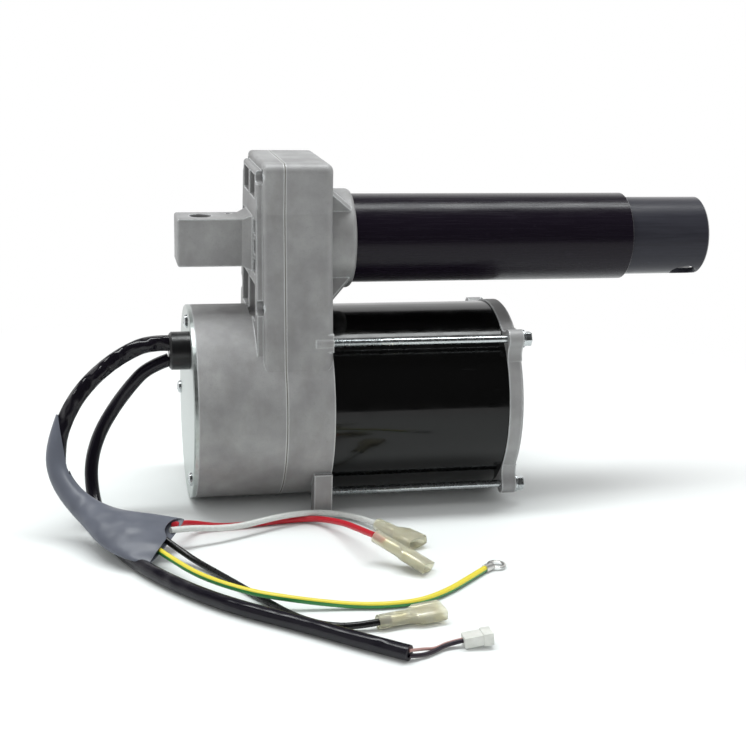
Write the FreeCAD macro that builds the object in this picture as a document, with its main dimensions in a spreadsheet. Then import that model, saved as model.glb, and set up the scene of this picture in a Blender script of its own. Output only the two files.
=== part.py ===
import FreeCAD, Part
import math
import os
import re

import Sketcher
from FreeCAD import Placement, Rotation, Vector

os.makedirs("parts", exist_ok=True)

# A mains lift actuator: an induction motor lies under a three-stage spur gearbox, which turns a
# lead screw, and the screw pushes a ram out of a fixed guide tube.
# Frame: origin at the middle of the clevis bore, +X along the screw towards the ram, +Z up.

doc = FreeCAD.newDocument("lift_actuator")
sheet = doc.addObject("Spreadsheet::Sheet", "sizes")

# ---------------------------------------------------------------- driving sizes, in millimetres
SIZES = {
    # shafts, seen along the screw
    "first_side": -5.664,
    "second_side": 6.0,
    # fits
    "run_gap": 0.05,
    "tube_gap": 0.08,
    "loose_gap": 0.2,
    "gear_gap": 0.4,
    "rotor_gap": 0.35,
    "end_float": 0.3,
    "overrun": 1.0,
    # clevis
    "clevis_width": 22.0,
    "clevis_nose": 11.5,
    "clevis_bore_radius": 5.2,
    "clevis_edge": 1.2,
    "root_width": 26.0,
    "root_length": 4.5,
    "dimple_along": 13.7,
    "dimple_side": 6.5,
    "dimple_radius": 1.4,
    "dimple_depth": 0.8,
    # gearcase outline, seen along the screw
    "column_top": 38.5,
    "column_half": 30.5,
    "shoulder_height": 16.0,
    "skirt_step": 6.7,
    "drum_radius": 46.4,
    "column_round": 4.0,
    "rear_round": 1.8,
    "front_round": 3.4,
    # gearcase, along the screw
    "rear_face": 25.5,
    "rear_depth": 9.5,
    "gasket_thickness": 0.5,
    "front_depth": 22.0,
    "drum_reach": 30.5,
    "case_wall": 3.5,
    "front_wall": 5.0,
    "web_thickness": 3.0,
    "rear_wall": 4.0,
    "plateau_rise": 2.8,
    "plateau_inset": 3.6,
    "plateau_round": 1.6,
    "pocket_depth": 4.0,
    "pocket_rim": 2.2,
    "pocket_middle": 4.0,
    "pocket_side": 21.0,
    "top_pocket_low": 22.0,
    "side_pocket_inner": 15.0,
    "low_pocket_top": 17.0,
    "low_pocket_height": 17.0,
    "rib_width": 2.4,
    "rib_pitch": 9.0,
    "boss_wall": 3.0,
    "cover_thickness": 2.0,
    # collar and guide tube
    "collar_wall": 2.42,
    "collar_length": 13.0,
    "collar_edge": 2.5,
    "gusset_rise": 12.5,
    "gusset_length": 10.5,
    "gusset_width": 3.0,
    "tube_seat": 7.5,
    "tube_wall": 2.0,
    "tube_length": 143.5,
    "tube_edge": 0.4,
    # ram
    "ram_radius": 19.0,
    "ram_wall": 2.5,
    "ram_clear": 13.5,
    "ram_length": 170.0,
    "ram_edge": 0.8,
    "pin_bore_radius": 6.0,
    "pin_inset": 8.5,
    "pin_turn": 28.0,
    "pin_edge": 0.4,
    # lead screw and nut
    "thread_radius": 10.0,
    "screw_length": 140.0,
    "back_journal_radius": 6.0,
    "front_journal_radius": 7.5,
    "gear_seat_radius": 8.5,
    "shoulder_radius": 10.0,
    "screw_chamfer": 1.5,
    "nut_length": 24.0,
    "nut_inset": 1.0,
    "nut_pin_radius": 2.0,
    "nut_pin_depth": 4.0,
    "nut_pin_turn": 60.0,
    "key_width": 4.0,
    "key_depth": 2.0,
    "key_height": 1.6,
    # bearings
    "back_bearing_radius": 14.0,
    "back_bearing_width": 8.0,
    "front_bearing_radius": 16.0,
    "front_bearing_width": 9.0,
    "motor_bearing_radius": 13.0,
    "motor_bearing_width": 8.0,
    "shield_depth": 0.6,
    "race_depth": 2.6,
    "wave_thickness": 0.5,
    # gears
    "gear_width": 6.0,
    "fine_module": 0.8,
    "middle_module": 1.0,
    "coarse_module": 1.25,
    "pinion_teeth": 14,
    "first_teeth": 46,
    "second_teeth": 38,
    "third_teeth": 38,
    "tooth_pressure": 20.0,
    "tooth_addendum": 0.85,
    "tooth_dedendum": 1.2,
    "tooth_backlash": 0.09,
    "web_groove": 1.4,
    "idler_radius": 4.0,
    "pinion_bore": 3.2,
    "bush_wall": 2.0,
    "bush_depth": 4.0,
    "tail_length": 8.0,
    "magnet_radius": 9.0,
    "magnet_width": 3.0,
    "board_gap": 2.0,
    "board_width": 24.0,
    "board_height": 13.0,
    "board_thickness": 1.6,
    "bracket_width": 5.0,
    # motor
    "shell_step": 0.8,
    "shell_wall": 1.2,
    "shell_length": 83.0,
    "spigot_length": 3.0,
    "spigot_wall": 3.3,
    "stator_depth": 19.8,
    "core_start": 16.5,
    "core_room": 33.0,
    "core_overlap": 2.0,
    "end_ring_length": 4.0,
    "end_ring_inner": 12.0,
    "end_ring_inset": 1.6,
    "coil_lift": 2.9,
    "coil_room": 3.4,
    "coil_length": 8.5,
    "coil_round": 2.5,
    "shaft_radius": 5.0,
    "core_shaft_radius": 6.0,
    "bell_thickness": 7.0,
    "bell_edge": 1.0,
    "hub_rise": 1.5,
    "bolt_stand": 5.3,
    "bolt_radius": 1.75,
    "bolt_thread_radius": 2.0,
    "bolt_thread_length": 29.0,
    "bolt_depth": 6.0,
    "bolt_head_radius": 3.7,
    "bolt_head_height": 3.6,
    "washer_radius": 4.3,
    "washer_thickness": 1.0,
    "lug_radius": 4.5,
    "bolt_wall": 0.8,
    "lug_blend": 8.0,
    "foot_depth": 8.5,
    "foot_rise": 20.0,
    # case and cover screws
    "screw_edge": 4.3,
    "screw_top_drop": 5.9,
    "screw_side_drop": 26.5,
    "screw_low_inset": 7.8,
    "screw_low_turn": 40.0,
    "head_depth": 2.4,
    "case_screw_radius": 1.9,
    "case_head_radius": 3.2,
    "case_head_height": 2.4,
    "case_screw_depth": 11.0,
    "case_boss_radius": 4.4,
    "cover_screw_radius": 1.45,
    "cover_head_radius": 3.2,
    "cover_head_height": 1.8,
    "cover_screw_length": 10.0,
    "cover_screw_inset": 5.2,
    "cover_boss_radius": 4.2,
    "cover_turn": -8.0,
    "cover_step": -128.0,
    # cable entry
    "entry_inset": 10.2,
    "entry_turn": 33.5,
    "grommet_radius": 8.8,
    "grommet_neck_radius": 7.0,
    "grommet_length": 9.4,
    "grommet_lip": 2.5,
    "grommet_edge": 1.0,
    # wiring
    "lead_sleeve_radius": 3.7,
    "sensor_sleeve_radius": 3.1,
    "wire_radius": 1.4,
    "fine_wire_radius": 1.1,
    "inner_lead_radius": 2.5,
    "lead_inset": 14.0,
    "lead_drop": 9.0,
    "boot_length": 15.0,
    "boot_width": 10.5,
    "boot_height": 5.0,
    "barrel_length": 13.0,
    "barrel_radius": 2.9,
    "ring_outer_radius": 4.2,
    "ring_hole_radius": 2.4,
    "ring_thickness": 0.8,
    "ring_barrel": 5.0,
    "plug_length": 11.0,
    "plug_width": 6.5,
    "plug_height": 4.6,
}

# ---------------------------------------------------------------- sizes that follow from them
FOLLOW = {
    "first_centres": "fine_module * (pinion_teeth + first_teeth) / 2",
    "second_centres": "middle_module * (pinion_teeth + second_teeth) / 2",
    "third_centres": "coarse_module * (pinion_teeth + third_teeth) / 2",
    "second_height": "-sqrt(third_centres^2 - second_side^2)",
    "first_height": "second_height - sqrt(second_centres^2 - (second_side - first_side)^2)",
    "axis_gap": "sqrt(first_centres^2 - first_side^2) - first_height",
    "skirt_half": "drum_radius - skirt_step",
    "skirt_height": "sqrt(drum_radius^2 - skirt_half^2) - axis_gap",
    "side_slope": "(skirt_half - column_half) / (shoulder_height - skirt_height)",
    "floor": "-axis_gap - drum_radius",
    "seam": "rear_face + rear_depth",
    "front_start": "seam + gasket_thickness",
    "front_face": "front_start + front_depth",
    "drum_back": "rear_face - drum_reach",
    "cover_face": "drum_back - cover_thickness",
    "web_back": "rear_face + rear_wall",
    "cavity_back": "web_back + web_thickness",
    "cavity_front": "front_face - front_wall",
    "plateau_back": "rear_face - plateau_rise",
    "pocket_floor": "plateau_back + pocket_depth",
    "head_seat": "rear_face + head_depth",
    "layer_one": "cavity_back + gear_gap",
    "layer_two": "layer_one + gear_width + gear_gap",
    "layer_three": "layer_two + gear_width + gear_gap",
    "layer_end": "layer_three + gear_width",
    "back_bearing_start": "cavity_back - back_bearing_width",
    "collar_end": "front_face + collar_length",
    "tube_start": "collar_end - tube_seat",
    "tube_bore": "ram_radius + tube_gap",
    "tube_radius": "tube_bore + tube_wall",
    "collar_radius": "tube_radius + collar_wall",
    "gusset_reach": "collar_radius + gusset_rise",
    "front_bearing_start": "tube_start - front_bearing_width",
    "ram_back": "tube_start + ram_clear",
    "ram_front": "ram_back + ram_length",
    "ram_bore": "ram_radius - ram_wall",
    "pin_along": "ram_front - pin_inset",
    "nut_back": "ram_back + nut_inset",
    "motor_bearing_start": "front_face - motor_bearing_width",
    "shell_radius": "drum_radius - shell_step",
    "shell_bore": "shell_radius - shell_wall",
    "shell_end": "front_face + shell_length",
    "bell_face": "shell_end + bell_thickness",
    "bell_bearing_end": "bell_face - hub_rise - wave_thickness",
    "bell_bearing_start": "bell_bearing_end - motor_bearing_width",
    "hub_radius": "motor_bearing_radius + case_wall",
    "bolt_circle": "shell_radius + bolt_stand",
    "bolt_pitch": "bolt_circle / sqrt(2)",
    "blend_reach": "drum_radius + lug_blend",
    "blend_turn": "acos((bolt_circle^2 + blend_reach^2 - (lug_radius + lug_blend)^2)"
                  " / (2 * bolt_circle * blend_reach))",
    "blend_far": "blend_reach * cos(45deg - blend_turn)",
    "blend_near": "blend_reach * sin(45deg - blend_turn)",
    "core_radius": "shell_bore - stator_depth",
    "core_back": "front_face + core_start",
    "core_front": "shell_end + core_start - core_room",
    "stator_back": "core_back - core_overlap",
    "stator_front": "core_front + core_overlap",
    "stator_bore": "core_radius + rotor_gap",
    "coil_inner": "core_radius + coil_lift",
    "coil_outer": "shell_bore - coil_room",
    "bush_radius": "idler_radius + run_gap + bush_wall",
    "idler_front": "cavity_front + bush_depth - end_float",
    "tail_end": "web_back - tail_length",
    "magnet_back": "tail_end + gear_gap",
    "board_back": "magnet_back - board_gap - board_thickness",
    "entry_reach": "drum_radius - entry_inset",
    "grommet_side": "entry_reach * sin(entry_turn * 1deg)",
    "grommet_z": "entry_reach * cos(entry_turn * 1deg) - axis_gap",
    "grommet_face": "cover_face - grommet_length",
    "lead_side": "drum_radius - lead_inset",
    "lead_height": "-axis_gap - lead_drop",
    "screw_top_half": "column_half - screw_edge",
    "screw_top_height": "column_top - screw_top_drop",
    "screw_side_half": "column_half + side_slope * (shoulder_height + screw_side_drop)"
                       " - screw_edge",
    "screw_low_radius": "drum_radius - screw_low_inset",
    "screw_low_y": "screw_low_radius * cos(screw_low_turn * 1deg)",
    "screw_low_z": "-axis_gap - screw_low_radius * sin(screw_low_turn * 1deg)",
    "cover_screw_circle": "drum_radius - cover_screw_inset",
}


def fill_sheet():
    """Write every size to a cell of its own, under its name."""
    row = 0
    for name, number in SIZES.items():
        row += 1
        sheet.set(f"A{row}", name)
        sheet.set(f"B{row}", str(number))
        sheet.setAlias(f"B{row}", name)
    doc.recompute()
    for name, formula in FOLLOW.items():
        row += 1
        sheet.set(f"A{row}", name)
        sheet.set(f"B{row}", "=" + formula)
        sheet.setAlias(f"B{row}", name)
        doc.recompute()


fill_sheet()
KNOWN = set(SIZES) | set(FOLLOW)


def linked(text):
    """An expression for another object: each size name points at the sheet."""
    return re.sub(r"[a-z_]+", lambda m: "sizes." + m[0] if m[0] in KNOWN else m[0], text)


def size(text):
    """The number that an expression gives now."""
    return float(sheet.evalExpression(text))


def bind(thing, **properties):
    """Bind properties to expressions; a double underscore in a name stands for a dot."""
    for name, text in properties.items():
        thing.setExpression(name.replace("__", "."), linked(text))


def set_down(thing, x="0", y="0", z="0"):
    """Bind the place of an object."""
    bind(thing, Placement__Base__x=x, Placement__Base__y=y, Placement__Base__z=z)
    return thing


# ---------------------------------------------------------------- plain forms
ALONG_X = Rotation(Vector(0, 1, 0), 90)


def rod(name, radius, start, end, y="0", z="0"):
    """A round bar along X from start to end."""
    bar = doc.addObject("Part::Cylinder", name)
    bar.Placement = Placement(Vector(), ALONG_X)
    bind(bar, Radius=radius, Height=f"({end}) - ({start})")
    return set_down(bar, start, y, z)


def block(name, x, y, z):
    """A box between two places on each axis, each given as a pair."""
    box = doc.addObject("Part::Box", name)
    bind(box, Length=f"({x[1]}) - ({x[0]})", Width=f"({y[1]}) - ({y[0]})",
         Height=f"({z[1]}) - ({z[0]})")
    return set_down(box, x[0], y[0], z[0])


def hexagon_rod(name, radius, start, end, y="0", z="0"):
    """A six-sided bar along X, its size across corners twice the radius."""
    bar = doc.addObject("Part::Prism", name)
    bar.Polygon = 6
    bar.Placement = Placement(Vector(), ALONG_X)
    bind(bar, Circumradius=radius, Height=f"({end}) - ({start})")
    return set_down(bar, start, y, z)


def joined(name, *pieces):
    """Several forms made one."""
    if len(pieces) == 1:
        return pieces[0]
    union = doc.addObject("Part::MultiFuse", name)
    union.Shapes = list(pieces)
    union.Refine = True
    return union


def shared(name, *pieces):
    """The part that several forms have in common."""
    common = doc.addObject("Part::MultiCommon", name)
    common.Shapes = list(pieces)
    return common


def cut(name, base, *tools):
    """A form less one or more others."""
    result = doc.addObject("Part::Cut", name)
    result.Base = base
    result.Tool = joined(name + "_tools", *tools)
    result.Refine = True
    return result


def group(name, *pieces):
    """Like pieces that share one node and stay separate solids."""
    together = doc.addObject("Part::Compound", name)
    together.Links = list(pieces)
    return together


# ---------------------------------------------------------------- sketched forms
def new_body(name, z="0", y="0", x="0"):
    body = doc.addObject("PartDesign::Body", name)
    return set_down(body, x, y, z)


def new_sketch(body, name, plane, lift=None):
    """A sketch on one of the body's own planes, lifted off it along its normal."""
    role = {"YZ": "YZ_Plane", "XZ": "XZ_Plane", "XY": "XY_Plane"}[plane]
    sketch = body.newObject("Sketcher::SketchObject", name)
    flat = [f for f in body.Origin.OriginFeatures if f.Role == role][0]
    sketch.AttachmentSupport = [(flat, "")]
    sketch.MapMode = "FlatFace"
    if lift:
        bind(sketch, AttachmentOffset__Base__z=lift)
    return sketch


def hold(sketch, geometry, point, across=None, up=None):
    """Hold one point of a sketch at expressions measured from its origin."""
    for kind, text in (("DistanceX", across), ("DistanceY", up)):
        if text is None:
            continue
        index = sketch.addConstraint(
            Sketcher.Constraint(kind, -1, 1, geometry, point, size(text)))
        sketch.setExpression(f"Constraints[{index}]", linked(text))


def draw(sketch, corners):
    """A closed straight-sided outline whose corners are pairs of expressions."""
    places = [Vector(size(across), size(up), 0) for across, up in corners]
    count = len(places)
    for i in range(count):
        sketch.addGeometry(Part.LineSegment(places[i], places[(i + 1) % count]), False)
    for i in range(count):
        sketch.addConstraint(Sketcher.Constraint("Coincident", i, 2, (i + 1) % count, 1))
        hold(sketch, i, 1, *corners[i])


def pad(body, name, sketch, length):
    feature = body.newObject("PartDesign::Pad", name)
    feature.Profile = sketch
    bind(feature, Length=length)
    return feature


def turned(name, corners, y="0", z="0", x="0"):
    """A turned piece about a line along X: corners are (along, radius)."""
    body = new_body(name, z, y, x)
    sketch = new_sketch(body, name + "_profile", "XZ")
    draw(sketch, corners)
    spin = body.newObject("PartDesign::Revolution", name + "_turn")
    spin.Profile = sketch
    spin.ReferenceAxis = (sketch, ["H_Axis"])
    spin.Angle = 360
    return body


def ring(name, inner, outer, start, end, y="0", z="0"):
    """A plain turned ring."""
    return turned(name, [(start, inner), (end, inner), (end, outer), (start, outer)], y, z)


def edge_names(shape, test):
    """The names of the edges whose two ends and middle all pass a test."""
    found = []
    for i, edge in enumerate(shape.Edges, 1):
        middle = edge.valueAt((edge.FirstParameter + edge.LastParameter) / 2)
        ends = [v.Point for v in edge.Vertexes]
        if all(test(point) for point in ends + [middle]):
            found.append(f"Edge{i}")
    return found


def rounded(body, name, test, radius, kind="Fillet"):
    """Fillet or chamfer the edges of a body's last feature that pass a test."""
    doc.recompute()
    last = body.Tip
    names = edge_names(last.Shape, test)
    feature = body.newObject("PartDesign::" + kind, name)
    feature.Base = (last, names)
    if kind == "Fillet":
        bind(feature, Radius=radius)
    else:
        bind(feature, Size=radius)
    return feature


NEAR = 0.01


# ---------------------------------------------------------------- gearcase outline
def case_outline(body, name, start, length, inset="0"):
    """The column over the drum, seen along the screw, drawn in by an inset and padded."""
    sketch = new_sketch(body, name, "YZ", start)
    top = f"column_top - {inset}"
    half = f"column_half - {inset}"
    skirt = f"skirt_half - {inset}"
    radius = f"drum_radius - {inset}"
    height = f"sqrt(({radius})^2 - ({skirt})^2) - axis_gap"
    right = [(half, top), (half, "shoulder_height"), (skirt, height)]
    left = [(f"-({across})", up) for across, up in reversed(right)]
    places = [Vector(size(a), size(u), 0) for a, u in right + left]
    circle = Part.Circle(Vector(0, -size("axis_gap"), 0), Vector(0, 0, 1), size(radius))
    turns = math.degrees(math.asin(size(skirt) / size(radius)))
    for a, b in ((0, 1), (1, 2)):
        sketch.addGeometry(Part.LineSegment(places[a], places[b]), False)
    sketch.addGeometry(Part.ArcOfCircle(circle, math.radians(90 + turns),
                                        math.radians(450 - turns)), False)
    for a, b in ((3, 4), (4, 5), (5, 0)):
        sketch.addGeometry(Part.LineSegment(places[a], places[b]), False)
    meetings = [(0, 2, 1, 1), (1, 2, 2, 2), (2, 1, 3, 1), (3, 2, 4, 1), (4, 2, 5, 1), (5, 2, 0, 1)]
    for meeting in meetings:
        sketch.addConstraint(Sketcher.Constraint("Coincident", *meeting))
    hold(sketch, 0, 1, *right[0])
    hold(sketch, 1, 1, *right[1])
    hold(sketch, 1, 2, skirt, None)
    hold(sketch, 3, 1, f"-({skirt})", None)
    hold(sketch, 4, 1, *left[1])
    hold(sketch, 5, 1, *left[2])
    hold(sketch, 2, 3, "0", "-axis_gap")
    index = sketch.addConstraint(Sketcher.Constraint("Radius", 2, size(radius)))
    sketch.setExpression(f"Constraints[{index}]", linked(radius))
    return pad(body, name + "_pad", sketch, length)


def outline_body(name, start, end, inset="0"):
    body = new_body(name)
    case_outline(body, name + "_outline", start, f"({end}) - ({start})", inset)
    return body


def column_body(name, start, end, inset="0"):
    """The outline with the column's two upper corners rounded."""
    body = outline_body(name, start, end, inset)
    top = size(f"column_top - {inset}")
    side = size(f"column_half - {inset}")
    rounded(body, name + "_corners",
            lambda p: p.z > top - NEAR and abs(p.y) > side - NEAR, f"column_round - {inset} / 2")
    return body


def ease_rim(body, name, place, radius):
    """Round the column's rim, above the drum, where it meets one end face."""
    along = size(place)
    above = size("skirt_height") - NEAR
    rounded(body, name, lambda p: abs(p.x - along) < NEAR and p.z > above, radius)


# The case screws: across, up, and the seat of the head.
CASE_SCREWS = [
    ("screw_top_half", "screw_top_height", "head_seat"),
    ("-screw_top_half", "screw_top_height", "head_seat"),
    ("screw_side_half", "-screw_side_drop", "head_seat"),
    ("-screw_side_half", "-screw_side_drop", "head_seat"),
    ("screw_low_y", "screw_low_z", "web_back"),
    ("-screw_low_y", "screw_low_z", "web_back"),
]


def cover_screw_places():
    """The three cover screws, clear of the cable entry."""
    places = []
    for number in range(3):
        turn = f"((cover_turn + cover_step * {number}) * 1deg)"
        places.append((f"cover_screw_circle * sin({turn})",
                       f"cover_screw_circle * cos({turn}) - axis_gap"))
    return places


CORNERS = [("", ""), ("", "-"), ("-", ""), ("-", "-")]


def tie_places():
    """The four tie bolts, on a square about the motor."""
    return [(f"{a}bolt_pitch", f"-axis_gap + ({b}bolt_pitch)") for a, b in CORNERS]


# ---------------------------------------------------------------- rear half of the gearcase
def clevis_bar():
    """The square bar with a flared root, lofted into the case."""
    body = new_body("clevis_bar")
    sketch = new_sketch(body, "clevis_section", "YZ", "-clevis_nose")
    half = "clevis_width / 2"
    draw(sketch, [(half, half), (f"-{half}", half), (f"-{half}", f"-{half}"), (half, f"-{half}")])
    pad(body, "clevis_pad", sketch, "clevis_nose + rear_face")
    nose = size("-clevis_nose")
    rounded(body, "clevis_nose_round", lambda p: p.x < nose + NEAR, "clevis_edge")
    thin = new_sketch(body, "root_start", "YZ", "plateau_back - root_length")
    draw(thin, [(half, half), (f"-{half}", half), (f"-{half}", f"-{half}"), (half, f"-{half}")])
    thick = new_sketch(body, "root_end", "YZ", "plateau_back")
    wide = "root_width / 2"
    draw(thick, [(wide, wide), (f"-{wide}", wide), (f"-{wide}", f"-{wide}"), (wide, f"-{wide}")])
    loft = body.newObject("PartDesign::AdditiveLoft", "root_loft")
    loft.Profile = thin
    loft.Sections = [thick]
    return body


def rear_plateau():
    """The raised, round-edged block on the back of the column."""
    body = column_body("rear_plateau", "plateau_back", "web_back", "plateau_inset")
    ease_rim(body, "plateau_rim_round", "plateau_back", "plateau_round")
    return body


def rear_pockets():
    """Cored pockets that leave ribs across the plateau: two above, three beside, one below."""
    inner = "pocket_middle / 2"
    outer = "column_half - plateau_inset - pocket_rim"
    top = "column_top - plateau_inset - pocket_rim"
    low = "-low_pocket_top"
    spans = [("top_pocket", inner, "pocket_side", "top_pocket_low", top),
             ("low_pocket", inner, outer, f"{low} - low_pocket_height", low)]
    for level in (-1, 0, 1):
        middle = f"rib_pitch * {level}"
        half = "(rib_pitch - rib_width) / 2"
        spans.append((f"side_pocket_{level + 2}", "side_pocket_inner", outer,
                      f"{middle} - {half}", f"{middle} + {half}"))
    pockets = []
    for name, near, far, bottom, top in spans:
        for side, across in (("left", (f"-({far})", f"-({near})")), ("right", (near, far))):
            pockets.append(block(f"{name}_{side}", ("plateau_back - overrun", "pocket_floor"),
                                 across, (bottom, top)))
    return pockets


def gearcase_rear():
    column = column_body("rear_column", "rear_face", "seam")
    ease_rim(column, "rear_column_round", "rear_face", "rear_round")
    solids = [column, rear_plateau()]
    solids.append(rod("drum_wall", "drum_radius", "drum_back", "seam", z="-axis_gap"))
    shell = cut(
        "rear_hollowed", joined("rear_solid", *solids),
        rod("drum_room", "drum_radius - case_wall", "drum_back - overrun", "web_back",
            z="-axis_gap"),
        outline_body("rear_gear_room", "cavity_back", "seam + overrun", "case_wall"),
        *rear_pockets())
    bosses = [shell, clevis_bar()]
    bosses.append(rod("back_bearing_boss", "back_bearing_radius + boss_wall", "plateau_back",
                      "cavity_back"))
    for i, (y, z, head) in enumerate(CASE_SCREWS, 1):
        bosses.append(rod(f"rear_screw_boss_{i}", "case_boss_radius", "web_back", "seam", y, z))
    for i, (y, z) in enumerate(cover_screw_places(), 1):
        bosses.append(rod(f"cover_pillar_{i}", "cover_boss_radius", "drum_back",
                          "drum_back + cover_screw_length + cover_thickness", y, z))
    bosses.append(rod("first_shaft_boss", "bush_radius + boss_wall / 2", "web_back - bush_depth",
                      "cavity_back", "first_side", "first_height"))
    filled = shared("rear_trimmed", joined("rear_with_bosses", *bosses), rear_limits())
    tools = [
        rod("back_bearing_room", "back_bearing_radius", "back_bearing_start", "seam"),
        rod("first_bush_hole", "bush_radius", "web_back - bush_depth - overrun",
            "cavity_back + overrun", "first_side", "first_height"),
        rod("second_bush_hole", "bush_radius", "cavity_back - bush_depth",
            "cavity_back + overrun", "second_side", "second_height"),
        rod("grommet_notch", "grommet_radius + loose_gap", "drum_back - overrun",
            "drum_back + grommet_lip + loose_gap", "-grommet_side", "grommet_z"),
        rod("lead_hole", "inner_lead_radius + loose_gap * 2", "web_back - overrun",
            "cavity_back + overrun", "-lead_side", "lead_height"),
        clevis_hole(), clevis_dimple(),
    ]
    for i, (y, z, head) in enumerate(CASE_SCREWS, 1):
        tools.append(rod(f"rear_screw_hole_{i}", "case_screw_radius + run_gap",
                         "rear_face - overrun", "seam + overrun", y, z))
    for i, (y, z, head) in enumerate(CASE_SCREWS[:4], 1):
        tools.append(rod(f"head_room_{i}", "case_head_radius + loose_gap",
                         "plateau_back - overrun", head, y, z))
    for i, (y, z) in enumerate(cover_screw_places(), 1):
        tools.append(rod(f"cover_screw_hole_{i}", "cover_screw_radius + run_gap",
                         "drum_back - overrun", "drum_back + cover_screw_length", y, z))
    return cut("gearcase_rear", filled, *tools)


def rear_limits():
    """The outer form that keeps bosses from standing out through the walls."""
    return joined(
        "rear_limit_form",
        column_body("rear_limit_column", "plateau_back", "seam"),
        rod("rear_limit_drum", "drum_radius", "drum_back", "seam", z="-axis_gap"),
        block("rear_limit_clevis", ("-clevis_nose", "rear_face"), ("-root_width", "root_width"),
              ("-root_width", "root_width")))


def clevis_hole():
    hole = doc.addObject("Part::Cylinder", "clevis_hole")
    bind(hole, Radius="clevis_bore_radius", Height="clevis_width * 2")
    return set_down(hole, "0", "0", "-clevis_width")


def clevis_dimple():
    dimple = doc.addObject("Part::Cylinder", "clevis_dimple")
    bind(dimple, Radius="dimple_radius", Height="clevis_width")
    return set_down(dimple, "dimple_along", "dimple_side", "clevis_width / 2 - dimple_depth")


# ---------------------------------------------------------------- front half of the gearcase
def gusset(name, turn):
    """One of the four webs between the collar and the case."""
    body = new_body(name)
    sketch = new_sketch(body, name + "_outline", "XZ", "-gusset_width / 2")
    inner = "collar_radius - collar_edge * 2"
    draw(sketch, [("front_face - overrun", inner), ("front_face + gusset_length", inner),
                  ("front_face + gusset_length", "collar_radius"),
                  ("front_face", "gusset_reach"), ("front_face - overrun", "gusset_reach")])
    pad(body, name + "_pad", sketch, "gusset_width")
    body.Placement = Placement(Vector(), Rotation(Vector(1, 0, 0), turn))
    return body


def collar():
    body = turned("collar", [("cavity_front", "0"), ("collar_end", "0"),
                             ("collar_end", "collar_radius"), ("cavity_front", "collar_radius")])
    end = size("collar_end")
    rounded(body, "collar_round", lambda p: p.x > end - NEAR, "collar_edge")
    return body


def foot_lug(name, side):
    """A lug round the lower tie bolt, whose flat end is one of the feet."""
    inner = f"{side}(bolt_pitch - lug_radius)"
    outer = f"{side}(bolt_pitch + lug_radius)"
    pair = (inner, outer) if side == "" else (outer, inner)
    return block(name, ("front_face - foot_depth", "front_face"), pair,
                 ("floor", "floor + foot_rise"))


def gearcase_front():
    column = column_body("front_column", "front_start", "front_face")
    ease_rim(column, "front_column_round", "front_face", "front_round")
    solids = [column, collar(), foot_lug("right_foot", ""), foot_lug("left_foot", "-")]
    solids += [gusset(f"gusset_{i}", 45 + 90 * i) for i in range(4)]
    solids.append(ring("front_spigot", "shell_bore - spigot_wall", "shell_bore - run_gap",
                       "cavity_front", "front_face + spigot_length", z="-axis_gap"))
    hollowed = cut("front_hollowed", joined("front_solid", *solids),
                   outline_body("front_gear_room", "front_start - overrun", "cavity_front",
                                "case_wall"))
    bosses = [hollowed]
    bosses.append(rod("motor_bearing_boss", "motor_bearing_radius + boss_wall",
                      "motor_bearing_start - boss_wall", "front_face", z="-axis_gap"))
    for i, (y, z, head) in enumerate(CASE_SCREWS, 1):
        bosses.append(rod(f"front_screw_pillar_{i}", "case_boss_radius", "front_start", "cavity_front",
                          y, z))
    for i, (y, z) in enumerate(tie_places(), 1):
        bosses.append(rod(f"tie_pillar_{i}", "lug_radius", "front_face - foot_depth", "front_face",
                          y, z))
    filled = shared("front_trimmed", joined("front_with_bosses", *bosses), front_limits())
    tools = [
        rod("front_bearing_room", "front_bearing_radius", "front_bearing_start", "collar_end + overrun"),
        rod("tube_room", "tube_radius", "tube_start", "collar_end + overrun"),
        rod("screw_room", "shoulder_radius + loose_gap * 2", "cavity_front - overrun",
            "tube_start"),
        rod("motor_bearing_room", "motor_bearing_radius", "motor_bearing_start", "front_face + overrun",
            z="-axis_gap"),
        rod("rotor_shaft_room", "shaft_radius + boss_wall",
            "motor_bearing_start - boss_wall - overrun", "front_face", z="-axis_gap"),
        rod("first_bush_socket", "bush_radius", "cavity_front - overrun",
            "cavity_front + bush_depth", "first_side", "first_height"),
        rod("second_bush_socket", "bush_radius", "cavity_front - overrun",
            "cavity_front + bush_depth", "second_side", "second_height"),
        rod("front_lead_hole", "inner_lead_radius + loose_gap * 2", "cavity_front - overrun",
            "front_face + overrun", "-lead_side", "lead_height"),
    ]
    for i, (y, z, head) in enumerate(CASE_SCREWS, 1):
        tools.append(rod(f"front_screw_hole_{i}", "case_screw_radius + run_gap",
                         "front_start - overrun",
                         "front_start + case_screw_depth + end_float", y, z))
    for i, (y, z) in enumerate(tie_places(), 1):
        tools.append(rod(f"tie_hole_{i}", "bolt_thread_radius + run_gap",
                         "front_face - bolt_depth - end_float", "front_face + overrun", y, z))
    return cut("gearcase_front", filled, *tools)


def front_limits():
    """The outer form: pillars stand out through the walls only as far as a bolt's own wall."""
    lugs = [rod(f"front_limit_lug_{i}", "bolt_thread_radius + run_gap + bolt_wall",
                "front_face - foot_depth", "front_face", y, z)
            for i, (y, z) in enumerate(tie_places(), 1)]
    return joined(
        "front_limit_form",
        column_body("front_limit_column", "front_start", "front_face"),
        rod("front_limit_collar", "gusset_reach", "front_face", "collar_end"),
        rod("front_limit_spigot", "shell_bore", "front_face", "front_face + spigot_length",
            z="-axis_gap"),
        block("front_limit_feet", ("front_face - foot_depth", "front_face"),
              ("-bolt_pitch - lug_radius", "bolt_pitch + lug_radius"), ("floor", "-axis_gap")),
        *lugs)


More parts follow.
